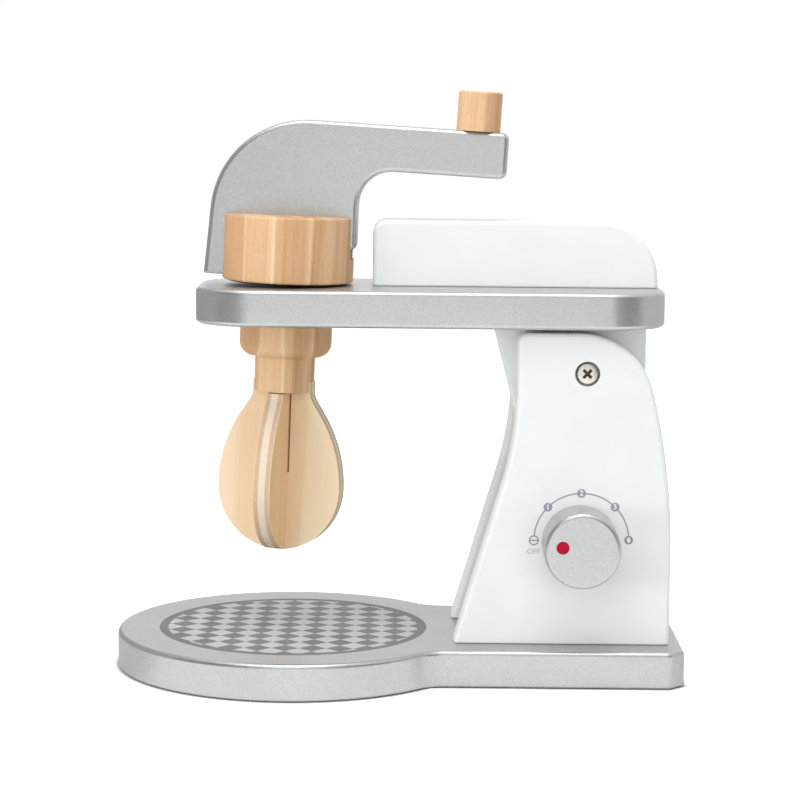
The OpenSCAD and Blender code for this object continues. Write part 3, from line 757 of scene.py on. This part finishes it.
def draw(bm, corners):
    """Draws an outline from corners (x, y, radius), or (x, y, 0, centre, degrees) where an arc begins."""
    points = [Vector((c[0], c[1], 0)) for c in corners]
    pen = None
    for i, c in enumerate(corners):
        start, centre, turn = points[i], None, 0
        if c[2]:
            start, centre, turn = rounding(points[i - 1], points[i], points[(i + 1) % len(points)], c[2])
        if pen is None:
            pen = first = bm.verts.new(start)
        else:
            pen = stroke(bm, pen, start.x, start.y)
        if c[2]:
            pen = sweep(bm, pen, centre.xy, turn)
        if len(c) > 3:
            pen = sweep(bm, pen, c[3], c[4])
    if (pen.co - first.co).length > SAME:
        bm.edges.new((pen, first))
    weld(bm, PEN_WELD)
    return bmesh.ops.contextual_create(bm, geom=bm.edges[:])["faces"][0]


print("pen draws arcs to", ARC_ERROR, "mm")

# %% [markdown]
# A board is its outline, extruded to a thickness, with both rims eased by a bevel of a few segments. The
# same three steps make every painted board of the mixer. A board that lies on the table can have a lighter
# ease below. A piece that is turned on a lathe is a half profile, spun once round.


# %% Boards and turned shapes
EDGE = 1.6
CORNER = 2.4


def extrude(bm, thickness):
    grown = bmesh.ops.extrude_face_region(bm, geom=bm.faces[:])["geom"]
    bmesh.ops.translate(bm, verts=only(bmesh.types.BMVert, grown), vec=(0, 0, thickness))
    face_out(bm)


def ease(bm, edges, radius, segments=5):
    bmesh.ops.bevel(bm, geom=edges, offset=radius, segments=segments, profile=0.5, affect="EDGES",
                    material=-1, clamp_overlap=True)


def rims(bm, height):
    level = [e for e in bm.edges if all(abs(v.co.z - height) < WELD for v in e.verts)]
    return [e for e in level if e.calc_face_angle(0) > 1]


def board(corners, thickness, radius, segments=5, lower=None):
    bm = bmesh.new()
    draw(bm, corners)
    extrude(bm, thickness)
    if radius:
        ease(bm, rims(bm, thickness), radius, segments)
        ease(bm, rims(bm, 0), lower or radius, segments)
    return bm


def move(bm, matrix):
    bmesh.ops.transform(bm, matrix=matrix, verts=bm.verts[:])
    return bm


def stand_up(bm, middle_y, thickness):
    return move(bm, shift(0, middle_y + thickness / 2, 0) @ UPRIGHT)


def lathe(corners, steps=128):
    bm = bmesh.new()
    face = draw(bm, corners)
    bmesh.ops.delete(bm, geom=[face], context="FACES_ONLY")
    move(bm, UPRIGHT)
    on_axle = [e for e in bm.edges if all(abs(v.co.x) < SAME for v in e.verts)]
    bmesh.ops.delete(bm, geom=on_axle, context="EDGES")
    bmesh.ops.spin(bm, geom=bm.verts[:] + bm.edges[:], cent=(0, 0, 0), axis=(0, 0, 1), angle=math.tau,
                   steps=steps, use_merge=True)
    weld(bm, LATHE_WELD)
    face_out(bm)
    return bm


print("board and lathe ready")

# %% [markdown]
# Recesses, bores and slots are cut with Blender's exact Boolean, as a router or a drill would cut them. A
# saw trims what lies below a height and leaves a foot with a light ease. The cutters are made by the same
# operators and thrown away.


# %% Cutting tools
SAW_WIDE = 300
FOOT_EASE = 0.7
SPARE = 4
FIT = 0.05


def block(low, high):
    bm = bmesh.new()
    bmesh.ops.create_cube(bm, size=1)
    size = Vector(high) - Vector(low)
    middle = (Vector(high) + Vector(low)) / 2
    return move(bm, Matrix.Translation(middle) @ Matrix.Diagonal((*size, 1)))


def drill(x, z, y0, y1, radius):
    bm = bmesh.new()
    bmesh.ops.create_cone(bm, cap_ends=True, segments=64, radius1=radius, radius2=radius, depth=abs(y1 - y0))
    return move(bm, shift(x, (y0 + y1) / 2, z) @ UPRIGHT)


def drill_down(x, y, z, half, radius):
    return move(drill(0, 0, -half, half, radius), shift(x, y, z) @ UPRIGHT)


def carve(bm, *cutters):
    work = shell(bm, "work")
    tools = [shell(c, "tool") for c in cutters]
    for tool in tools:
        cut = work.modifiers.new("cut", "BOOLEAN")
        cut.operation = "DIFFERENCE"
        cut.solver = "EXACT"
        cut.object = tool
    mesh = bpy.data.meshes.new_from_object(work.evaluated_get(bpy.context.evaluated_depsgraph_get()))
    made = bmesh.new()
    made.from_mesh(mesh)
    for thing in [work, *tools]:
        bpy.data.objects.remove(thing)
    weld(made, WELD)
    return made


def saw_foot(bm, height):
    made = carve(bm, block((-SAW_WIDE, -SAW_WIDE, height - SAW_WIDE), (SAW_WIDE, SAW_WIDE, height)))
    ease(made, rims(made, height), FOOT_EASE, 3)
    return made


print("cutting tools ready")

# %% [markdown]
# The last helper finishes a piece: it scales the mesh to metres, smooths it between its sharp edges,
# weights the normals by area so that flat faces stay flat beside their round rims, and ties the piece to
# the frame.

# %% Finish a piece
SHARP = math.radians(38)


def finish_piece(name, bm, material, body, slot, *nodes):
    bmesh.ops.scale(bm, vec=(MM, MM, MM), verts=bm.verts[:])
    for face in bm.faces:
        face.smooth = True
    piece = shell(bm, name)
    piece.data.set_sharp_from_angle(angle=SHARP)
    piece.data.materials.append(material)
    normals = piece.modifiers.new("flat_faces", "WEIGHTED_NORMAL")
    normals.keep_sharp = True
    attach(piece, body)
    if nodes:
        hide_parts(*nodes)
    print(name, len(piece.data.polygons), "faces")


# %% [markdown]
# The base board is a disc that runs into a tail. Its outline goes round the tail's cut corners, through a
# hollow, all the way round the disc and back through the other hollow. Four screws come up through it into
# the panels' feet, so it is counterbored from below.

# %% Base board
WAIST_R = 12
RECESS_R = 4.1
RECESS_DEPTH = 3.4
BORE_R = 2.18
SCREW_INSET = 15
waist_x = disc_x + math.sqrt((DISC_R + WAIST_R) ** 2 - (TAIL_HALF + WAIST_R) ** 2)
waist_a = math.degrees(math.atan2(TAIL_HALF + WAIST_R, waist_x - disc_x))
meet_x = disc_x + DISC_R * math.cos(math.radians(waist_a))
meet_y = DISC_R * math.sin(math.radians(waist_a))
tail_x = base_high.x
base_thick = base_high.z
base_outline = [
    (waist_x, -TAIL_HALF, 0),
    (tail_x - TAIL_CUT, -TAIL_HALF, CORNER),
    (tail_x, TAIL_CUT - TAIL_HALF, CORNER),
    (tail_x, TAIL_HALF - TAIL_CUT, CORNER),
    (tail_x - TAIL_CUT, TAIL_HALF, CORNER),
    (waist_x, TAIL_HALF, 0, (waist_x, TAIL_HALF + WAIST_R), waist_a - 90),
    (meet_x, meet_y, 0, (disc_x, 0), 360 - 2 * waist_a),
    (meet_x, -meet_y, 0, (waist_x, -TAIL_HALF - WAIST_R), waist_a - 90),
]
panel_mid = (panel_low.y + panel_high.y) / 2
sinks = []
for x in (panel_low.x + SCREW_INSET, panel_high.x - SCREW_INSET):
    for y in (panel_mid, -panel_mid):
        sinks.append(drill_down(x, y, 0, RECESS_DEPTH, RECESS_R))
        sinks.append(drill_down(x, y, 0, 2 * base_thick, BORE_R))
base_bm = carve(board(base_outline, base_thick, EDGE, lower=FOOT_EASE), *sinks)
finish_piece("base_board_painted", base_bm, silver_printed, "base", "silver_paint", "base_board")

# %% [markdown]
# The post's two panels share one outline: a foot, a front edge that leans back and then stands up, and a
# back edge that curves over into the top. The board is drawn a little too long, eased all round, and sawn
# off square at the foot, so the foot's edges stay crisp. The pivot screw's recess and the bores are drilled
# afterwards.

# %% Post panels
FOOT = 71
FRONT_STEP = 20
FRONT_BEND_R = 117.8
FRONT_BEND = 67.5
BACK_BEND_R = 222.5
BACK_BEND = 56.6
TOP_IN = 11.47
TOP_R = 24.75
NOSE_R = 3.5
panel_thick = panel_high.y - panel_low.y
panel_up = panel_high.z - panel_low.z
back_x = panel_high.x
foot_x = back_x - FOOT
pivot = Vector(joint("head_tilt")["pos_m"]) / MM
knob_at = Vector(joint("knob_turn")["pos_m"]) / MM
panel_outline = [
    (foot_x - SPARE * FRONT_STEP / FRONT_BEND, -SPARE, CORNER),
    (back_x, -SPARE, CORNER),
    (back_x, BACK_BEND, BACK_BEND_R),
    (back_x - TOP_IN, panel_up, TOP_R),
    (foot_x + FRONT_STEP, panel_up, NOSE_R),
    (foot_x + FRONT_STEP, FRONT_BEND, FRONT_BEND_R),
]


def panel(side, *more_cuts):
    bm = board(panel_outline, panel_thick, EDGE)
    stand_up(bm, -side * panel_mid, panel_thick)
    bm = saw_foot(move(bm, shift(0, 0, panel_low.z)), panel_low.z)
    outer = side * -panel_low.y
    recess = drill(pivot.x, pivot.z, outer + side, outer - side * RECESS_DEPTH, RECESS_R)
    bore = drill(pivot.x, pivot.z, outer, outer - side * 2 * panel_thick, BORE_R)
    return carve(bm, recess, bore, *more_cuts)


knob_bore = drill(knob_at.x, knob_at.z, 2 * panel_low.y, 0, BORE_R)
finish_piece("front_panel_painted", panel(-1, knob_bore), white, "base", "white_paint", "front_panel")
finish_piece("rear_panel_painted", panel(1), white, "base", "white_paint", "rear_panel")

# %% [markdown]
# Under the head board a block hangs between the panels and turns on the pivot screws. It is a plain prism
# with a sloped front, so one outline and a light bevel are enough.

# %% Hinge block
BLOCK_SLOPE = 14.6
BLOCK_BEVEL = 5.6
BLOCK_EASE = 0.6
block_low, block_high = box_mm("hinge_block")
slope = (block_high.z - block_low.z) * math.tan(math.radians(BLOCK_SLOPE))
block_outline = [
    (block_low.x, block_high.z, 0),
    (block_low.x + slope, block_low.z, 0),
    (block_high.x - BLOCK_BEVEL, block_low.z, 0),
    (block_high.x, block_low.z + BLOCK_BEVEL, 0),
    (block_high.x, block_high.z, 0),
]
block_wide = block_high.y - block_low.y
block_bm = stand_up(board(block_outline, block_wide, 0), 0, block_wide)
lower = [e for e in block_bm.edges if min(v.co.z for v in e.verts) < block_high.z - FIT]
ease(block_bm, lower, BLOCK_EASE, 3)
finish_piece("hinge_block_painted", block_bm, white, "head", "white_paint", "hinge_block")

# %% [markdown]
# The head board is a rectangle with large round corners and the same eased rims. The cover stands on it on
# edge, with a quarter round at its back and a foot sawn square. The crank's shaft needs its bore through
# the head board.

# %% Head board and cover
HEAD_CORNER = 19.5
COVER_NOSE = 4.6
COVER_ROUND = 19.4
SHAFT_BORE = 5.48
crank_pos = Vector(joint("crank_spin")["pos_m"]) / MM
crank_axis = Vector(joint("crank_spin")["axis"])
head_thick = head_high.z - head_low.z
head_outline = [
    (head_low.x, head_low.y, HEAD_CORNER),
    (head_high.x, head_low.y, HEAD_CORNER),
    (head_high.x, head_high.y, HEAD_CORNER),
    (head_low.x, head_high.y, HEAD_CORNER),
]
head_bm = move(board(head_outline, head_thick, EDGE), shift(0, 0, head_low.z))
shaft_bore = drill_down(crank_pos.x, 0, crank_pos.z, head_thick, SHAFT_BORE)
finish_piece("head_board_painted", carve(head_bm, shaft_bore), silver, "head", "silver_paint", "head_board")

cover_low, cover_high = box_mm("head_cover")
cover_thick = cover_high.y - cover_low.y
cover_outline = [
    (cover_low.x, cover_low.z - SPARE, CORNER),
    (cover_high.x, cover_low.z - SPARE, CORNER),
    (cover_high.x, cover_high.z, COVER_ROUND),
    (cover_low.x, cover_high.z, COVER_NOSE),
]
cover_bm = saw_foot(stand_up(board(cover_outline, cover_thick, EDGE), 0, cover_thick), cover_low.z)
finish_piece("head_cover_painted", cover_bm, white, "head", "white_paint", "head_cover")

# %% [markdown]
# Everything on the crank stands on one axis, which leans a little because the shaft is loose in its bore.
# Two matrices hold that lean with the crank's own turn and the whisk's, and both move the meshes and the
# wood's grain.

# %% The crank's axis
CRANK_TURN = 3
WHISK_TURN = 15
lean_turn = Matrix.Rotation(math.atan2(crank_axis.x, crank_axis.z), 4, "Y")


def on_axis(degrees):
    return Matrix.Translation(crank_pos) @ lean_turn @ rotate(-degrees, "Z")


crank_place = on_axis(CRANK_TURN)
whisk_place = on_axis(WHISK_TURN)
print("crank leans", round(math.degrees(math.atan2(crank_axis.x, crank_axis.z)), 2), "degrees")

# %% [markdown]
# The hub is turned, then a slot is sawn across its top for the arm and a groove down its side. The arm is a
# board like the others: a leg that hangs in the groove, sawn square at its foot, a tongue in the slot, and
# a bar with a round shoulder that reaches out to the handle.

# %% Hub and arm
HUB_R = 21.8
HUB_LOW = 7.3
HUB_TOP = 29.0
HUB_EASE = 0.8
SLOT_DEPTH = 13.7
ARM_THICK = 12
SHAFT_R = 5
TONGUE = 11
ARM_LOW = HUB_TOP - TONGUE
ARM_RISE = 31.8
ARM_TOP = HUB_TOP + ARM_RISE
ARM_REACH = 71.6
BAR = 15.1
DROOP = math.radians(1.6)
LEG_OUT = 27.7
LEG_DROP = 20.2
LEG_LOW = HUB_TOP - LEG_DROP
LEG_SEAT = 2.5
TONGUE_OUT = 0.8
LEG_LEAN = math.radians(4.4)
SHOULDER_R = 32
THROAT_R = 11.5
hub_bm = lathe([(SHAFT_R, HUB_LOW, 0), (HUB_R, HUB_LOW, HUB_EASE), (HUB_R, HUB_TOP, HUB_EASE),
                (SHAFT_R, HUB_TOP, 0)])
slot_half = ARM_THICK / 2 + FIT
slot = block((-2 * HUB_R, -slot_half, HUB_TOP - SLOT_DEPTH), (2 * HUB_R, slot_half, 2 * HUB_TOP))
groove = block((-2 * HUB_R, -slot_half, LEG_LOW - FIT), (LEG_SEAT + FIT - HUB_R, slot_half, 2 * HUB_TOP))
hub_bm = carve(hub_bm, slot, groove)
finish_piece("crank_hub_turned", move(hub_bm, crank_place),
             turned_wood("hub_wood", crank_place, 36.0, 9.0), "crank", "turned_wood", "crank_hub")

end_top = ARM_TOP - ARM_REACH * math.tan(DROOP)
bar_low = end_top - BAR / math.cos(DROOP)
leg_in = LEG_SEAT - HUB_R
tongue_end = HUB_R + TONGUE_OUT
shoulder_x = (ARM_TOP - LEG_LOW) * math.tan(LEG_LEAN) - LEG_OUT
arm_outline = [
    (-LEG_OUT - SPARE * math.tan(LEG_LEAN), LEG_LOW - SPARE, CORNER),
    (leg_in, LEG_LOW - SPARE, CORNER),
    (leg_in, ARM_LOW, CORNER),
    (tongue_end, ARM_LOW, CORNER),
    (tongue_end, bar_low + (ARM_REACH - tongue_end) * math.tan(DROOP), THROAT_R),
    (ARM_REACH - BAR * math.sin(DROOP), bar_low, CORNER),
    (ARM_REACH, end_top, CORNER),
    (shoulder_x, ARM_TOP - shoulder_x * math.tan(DROOP), SHOULDER_R),
]
arm_bm = saw_foot(stand_up(board(arm_outline, ARM_THICK, EDGE), 0, ARM_THICK), LEG_LOW)
finish_piece("crank_arm_painted", move(arm_bm, crank_place), silver, "crank", "silver_paint", "crank_arm")

# %% [markdown]
# The handle peg is a short rod with eased rims. It stands square to the bar, which droops, so its place is
# the crank's place with one more small turn.

# %% Handle peg
PEG_R = 7.25
PEG_H = 13
PEG_SEAT = 9
TENON_R = 3
PEG_INSET = 10.3
peg_u = ARM_REACH - PEG_INSET
peg_place = crank_place @ shift(peg_u, 0, ARM_TOP - peg_u * math.tan(DROOP)) @ Matrix.Rotation(DROOP, 4, "Y")
peg_bm = lathe([(0, -PEG_SEAT, 0), (TENON_R, -PEG_SEAT, 0), (TENON_R, 0, 0), (PEG_R, 0, 0),
                (PEG_R, PEG_H, HUB_EASE), (0, PEG_H, 0)])
finish_piece("crank_peg_turned", move(peg_bm, peg_place), turned_wood("peg_wood", peg_place, 66.0),
             "crank", "turned_wood", "crank_peg")

# %% [markdown]
# The spindle goes through the head board: a collar with a rounded lower edge, a neck, and above them a thin
# shaft that nobody sees. A slot across the neck's end takes one of the whisk's plates.

# %% Spindle
COLLAR_R = 15.35
COLLAR_GAP = 0.6
COLLAR_TOP = -head_thick / 2 - COLLAR_GAP - COLLAR_R * crank_axis.x
COLLAR_H = 10.9
COLLAR_LOW = COLLAR_TOP - COLLAR_H
COLLAR_ROUND = 4.5
COLLAR_EASE = 0.5
NECK_R = 10
NECK_H = 11.7
NECK_LOW = COLLAR_LOW - NECK_H
NECK_SLOT = 3.6
NECK_EASE = 0.4
spindle_bm = lathe([
    (0, NECK_LOW, 0), (NECK_R, NECK_LOW, NECK_EASE), (NECK_R, COLLAR_LOW, COLLAR_EASE),
    (COLLAR_R, COLLAR_LOW, COLLAR_ROUND), (COLLAR_R, COLLAR_TOP, COLLAR_EASE), (SHAFT_R, COLLAR_TOP, 0),
    (SHAFT_R, HUB_TOP - SLOT_DEPTH, 0),
    (TENON_R, HUB_TOP - SLOT_DEPTH, 0), (TENON_R, ARM_LOW + TONGUE, 0), (0, ARM_LOW + TONGUE, 0),
])
neck_half = PLY_HALF + FIT
spindle_bm = carve(spindle_bm, block((-2 * NECK_R, -neck_half, NECK_LOW - SPARE),
                                     (2 * NECK_R, neck_half, NECK_LOW + NECK_SLOT)))
finish_piece("whisk_spindle_turned", move(spindle_bm, whisk_place),
             turned_wood("spindle_wood", whisk_place, 29.0), "crank", "turned_wood", "whisk_spindle")

# %% [markdown]
# The whisk is two pear-shaped plywood plates that slide into each other. One outline serves both: a round
# bottom, long flanks and a hollow up to the neck. One plate is slotted from below, the other from above.

# %% Whisk plates
WHISK_R = 21.3
WHISK_H = 53.6
FLANK_R = 45
FLANK_TURN = 33
HOLLOW_R = 6
LAP_H = 26.5
PLY_EASE = 0.3
PLATE_GAP = 6 * FIT
LAP_GAP = 9 * FIT
whisk_low = NECK_LOW - WHISK_H
whisk_mid = whisk_low + WHISK_R
lap = whisk_low + LAP_H
flank_cos = math.cos(math.radians(FLANK_TURN))
flank_sin = math.sin(math.radians(FLANK_TURN))
flank_x = WHISK_R - FLANK_R + FLANK_R * flank_cos
flank_z = whisk_mid + FLANK_R * flank_sin
hollow_x = NECK_R + HOLLOW_R * (1 - flank_cos)
hollow_z = flank_z + (flank_x - hollow_x) * flank_cos / flank_sin
hollow_mid = hollow_z + HOLLOW_R * flank_sin


def plate(top, slot_half, from_below):
    rise = FLANK_TURN
    if top < hollow_mid:
        rise = FLANK_TURN - math.degrees(math.asin((hollow_mid - top) / HOLLOW_R))
    tip = math.degrees(math.acos(slot_half / WHISK_R)) if from_below else 90
    tip_x = WHISK_R * math.cos(math.radians(tip))
    tip_z = whisk_mid - WHISK_R * math.sin(math.radians(tip))
    top_x = NECK_R + HOLLOW_R * (1 - math.cos(math.radians(FLANK_TURN - rise)))
    right = [
        (tip_x, tip_z, 0, (0, whisk_mid), tip),
        (WHISK_R, whisk_mid, 0, (WHISK_R - FLANK_R, whisk_mid), FLANK_TURN),
        (hollow_x, hollow_z, 0, (NECK_R + HOLLOW_R, hollow_mid), -rise),
        (top_x, top, 0),
    ]
    left = [
        (-top_x, top, 0),
        (-top_x, min(top, hollow_mid), 0, (-NECK_R - HOLLOW_R, hollow_mid), -rise),
        (-flank_x, flank_z, 0, (FLANK_R - WHISK_R, whisk_mid), FLANK_TURN),
        (-WHISK_R, whisk_mid, 0, (0, whisk_mid), tip),
    ]
    notch = [(slot_half, top, 0), (slot_half, lap, 0), (-slot_half, lap, 0), (-slot_half, top, 0)]
    if from_below:
        notch = []
        left += [(-slot_half, lap, 0), (slot_half, lap, 0)]
    bm = board(right + notch + left, 2 * PLY_HALF, PLY_EASE, 2)
    return stand_up(bm, 0, 2 * PLY_HALF)


plate_a_place = on_axis(WHISK_TURN + 90)
# Plate A's faces take the warmer, darker tint: painted shade for the shade and warm bounce light on them.
finish_piece("whisk_plate_a_ply", move(plate(NECK_LOW - PLATE_GAP, PLY_HALF + FIT, True), plate_a_place),
             plywood("plate_a_ply", plate_a_place, 5.0, 1.0), "crank", "plywood", "whisk_plate_a")
finish_piece("whisk_plate_b_ply", move(plate(NECK_LOW + NECK_SLOT, PLY_HALF + LAP_GAP, False), whisk_place),
             plywood("plate_b_ply", whisk_place, 75.0), "crank", "plywood", "whisk_plate_b")

# %% [markdown]
# The knob is turned with a rounded front rim, sprayed silver and marked with a dot of red paint, thick
# enough to feel.

# %% Knob and its dot
KNOB_RIM = 1.5
KNOB_BACK = 0.5
DOT_R = 2.1
DOT_THICK = 0.15
DOT_EASE = 0.1
DOT_X = -6.52
DOT_Z = 1.2
knob_low, knob_high = box_mm("control_knob")
knob_r = (knob_high.x - knob_low.x) / 2
knob_long = knob_high.y - knob_low.y
knob_place = shift(knob_at.x, knob_high.y, knob_at.z) @ UPRIGHT
knob_bm = lathe([(0, 0, 0), (knob_r, 0, KNOB_BACK), (knob_r, knob_long, KNOB_RIM), (0, knob_long, 0)], 160)
finish_piece("control_knob_painted", move(knob_bm, knob_place), silver, "knob", "silver_paint",
             "control_knob")
dot_bm = lathe([(0, 0, 0), (DOT_R, 0, 0), (DOT_R, DOT_THICK, DOT_EASE), (0, DOT_THICK, 0)], 48)
dot_place = shift(knob_at.x + DOT_X, knob_low.y, knob_at.z + DOT_Z) @ UPRIGHT
finish_piece("red_dot", move(dot_bm, dot_place), red, "knob", "silver_paint")

# %% [markdown]
# A pan-head screw shows in each panel's recess. Its head is a low dome on the lathe, with a cross cut into
# it.

# %% Pivot screws
HEAD_R = 3.4
HEAD_H = 2.4
HEAD_BACK = 0.2
HEAD_ROUND = 0.5
SHANK_R = 2.1
SHANK_TIP = 0.6
CROSS_LONG = 3.8
CROSS_WIDE = 1.0
CROSS_DEEP = 1.4
screw_low, screw_high = box_mm("pivot_screws")
SCREW_LONG = 20.3


def screw_bm(length):
    bm = lathe([(0, -length, 0), (SHANK_R, -length, SHANK_TIP), (SHANK_R, -HEAD_H, 0),
                (HEAD_R, -HEAD_H, HEAD_BACK), (HEAD_R, 0, HEAD_ROUND), (0, 0, 0)], 64)
    cross = []
    for degrees in (45, 135):
        cutter = block((-CROSS_LONG / 2, -CROSS_WIDE / 2, -CROSS_DEEP), (CROSS_LONG / 2, CROSS_WIDE / 2, 1))
        cross.append(move(cutter, rotate(degrees, "Z")))
    return carve(bm, *cross)


near = move(screw_bm(SCREW_LONG), shift(pivot.x, screw_low.y, pivot.z) @ UPRIGHT)
far = move(screw_bm(SCREW_LONG), shift(pivot.x, screw_high.y, pivot.z) @ rotate(-90, "X"))
far_mesh = bpy.data.meshes.new("far_screw")
far.to_mesh(far_mesh)
far.free()
near.from_mesh(far_mesh)
# Below the head's face this nickel turns dark: painted shade in the cross and the recess.
screw_nickel_and_shade = small_finish("screw_nickel_and_shade", (0.60, 0.57, 0.52, 1), (0.70, 0.67, 0.62, 1), 0.30, metallic=1.0,
                            face=-screw_low.y)
finish_piece("pivot_screws_nickel", near, screw_nickel_and_shade, "head", "screw_steel", "pivot_screws")

# %% [markdown]
# The dial is printed on the panel: a line of arcs that joins five marks. The first is a ring with a bar,
# for off. The others are grey discs with a pale figure or a drop in them. Ink has almost no thickness, but
# a thin solid is easier to colour and to keep sharp than a painted texture.

# %% Dial print
DIAL_X = 0.62
DIAL_Z = 0.65
DIAL_TURN = 0.7
DIAL_R = 15.5
DISC_MARK = 1.45
OFF_RING = 1.45
INK_LINE = 0.45
INK_THICK = 0.03
FIGURE = 2.5
FIGURE_BOLD = 0.06
DROP = (0.6, 1.5)
WORD_SHIFT = Vector((-0.1, -3.7, 0))
WORD_BOLD = 0.03
MARK_STEP = 45
marks = {180: "bar", 135: "1", 90: "2", 45: "3", 0: "drop"}
dial_place = shift(knob_at.x + DIAL_X, panel_low.y, knob_at.z + DIAL_Z) @ UPRIGHT @ rotate(DIAL_TURN, "Z")


def ink_arc(bm, centre, radius, start, degrees):
    inner = radius - INK_LINE / 2
    pair = [bm.verts.new(polar(r, start) + centre) for r in (inner, inner + INK_LINE)]
    edge = bm.edges.new(pair)
    full = abs(degrees) == 360
    bmesh.ops.spin(bm, geom=[*pair, edge], cent=centre, axis=(0, 0, 1), angle=math.radians(degrees),
                   steps=max(8, round(abs(degrees) / 4)), use_merge=full)


def ink_disc(bm, centre, radius, tall=1.0):
    bmesh.ops.create_circle(bm, cap_ends=True, segments=40, radius=radius,
                            matrix=Matrix.Translation(centre) @ Matrix.Diagonal((1, tall, 1, 1)))


def figure(bm, text, size, centre, bold=0.0):
    curve = bpy.data.curves.new("figure", "FONT")
    curve.body = text
    curve.size = size
    curve.offset = bold
    curve.align_x = "CENTER"
    curve.align_y = "CENTER"
    written = bpy.data.objects.new("figure", curve)
    scene.collection.objects.link(written)
    mesh = bpy.data.meshes.new_from_object(written.evaluated_get(bpy.context.evaluated_depsgraph_get()))
    bpy.data.objects.remove(written)
    mesh.transform(Matrix.Translation(centre))
    bm.from_mesh(mesh)


def ink_solid(bm, thickness):
    weld(bm, WELD)
    face_out(bm)
    extrude(bm, thickness)
    return move(bm, dial_place)


dial_bm = bmesh.new()
figures_bm = bmesh.new()
gap = math.degrees(math.asin(DISC_MARK / DIAL_R))
for angle, mark in marks.items():
    spot = polar(DIAL_R, angle)
    if angle:
        ink_arc(dial_bm, Vector((0, 0, 0)), DIAL_R, angle - gap, 2 * gap - MARK_STEP)
    if mark == "bar":
        ink_arc(dial_bm, spot, OFF_RING, 0, 360)
        bar = Matrix.Translation(spot) @ Matrix.Diagonal((2 * OFF_RING - INK_LINE, INK_LINE, 1, 1))
        bmesh.ops.create_grid(dial_bm, x_segments=1, y_segments=1, size=0.5, matrix=bar)
    else:
        ink_disc(dial_bm, spot, DISC_MARK)
    if mark == "drop":
        ink_disc(figures_bm, spot, *DROP)
    elif mark != "bar":
        figure(figures_bm, mark, FIGURE, spot, FIGURE_BOLD)
finish_piece("dial_print", ink_solid(dial_bm, INK_THICK), ink, "base", "white_paint")
finish_piece("dial_figures", ink_solid(figures_bm, 2 * INK_THICK), white, "base", "white_paint")
off_bm = bmesh.new()
figure(off_bm, "OFF", FIGURE, Vector((-DIAL_R, 0, 0)) + WORD_SHIFT, WORD_BOLD)
finish_piece("dial_word", ink_solid(off_bm, INK_THICK), pale_ink, "base", "white_paint")

# %% [markdown]
# The pieces that hardly show stay as the frame has them and only get their finish: the rail and dowels, the
# screws that hold the boards, the knob's washer and the rubber washer under the hub, whose black also
# stands in for the shade in the gap there.

# %% Finishes on the frame's own pieces
rail_wood = turned_wood("rail_wood", Matrix.Translation(box_mm("stop_rail")[0]) @ UPRIGHT, 61.0)
kept = {
    "stop_rail": rail_wood, "cover_dowels": rail_wood, "hub_washer": washer_black_and_gap_shade, "foot_screw_set": nickel,
    "board_screw_set": nickel, "knob_washer": nickel, "knob_screw": nickel,
}
for name, material in kept.items():
    mesh = frame["nodes"][name].data
    mesh.materials.clear()
    mesh.materials.append(material)
print("kept from the frame:", ", ".join(kept))

# %% [markdown]
# Last comes the size: the dressed mixer has to stay in the frame's own box, so the distances between the
# two boxes' low corners and high corners are printed.

# %% Compare the sizes
low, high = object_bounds()
off_low, off_high = (low - cad_low).length / MM, (high - cad_high).length / MM
print("frame and mixer differ by mm", round(off_low, 3), round(off_high, 3))
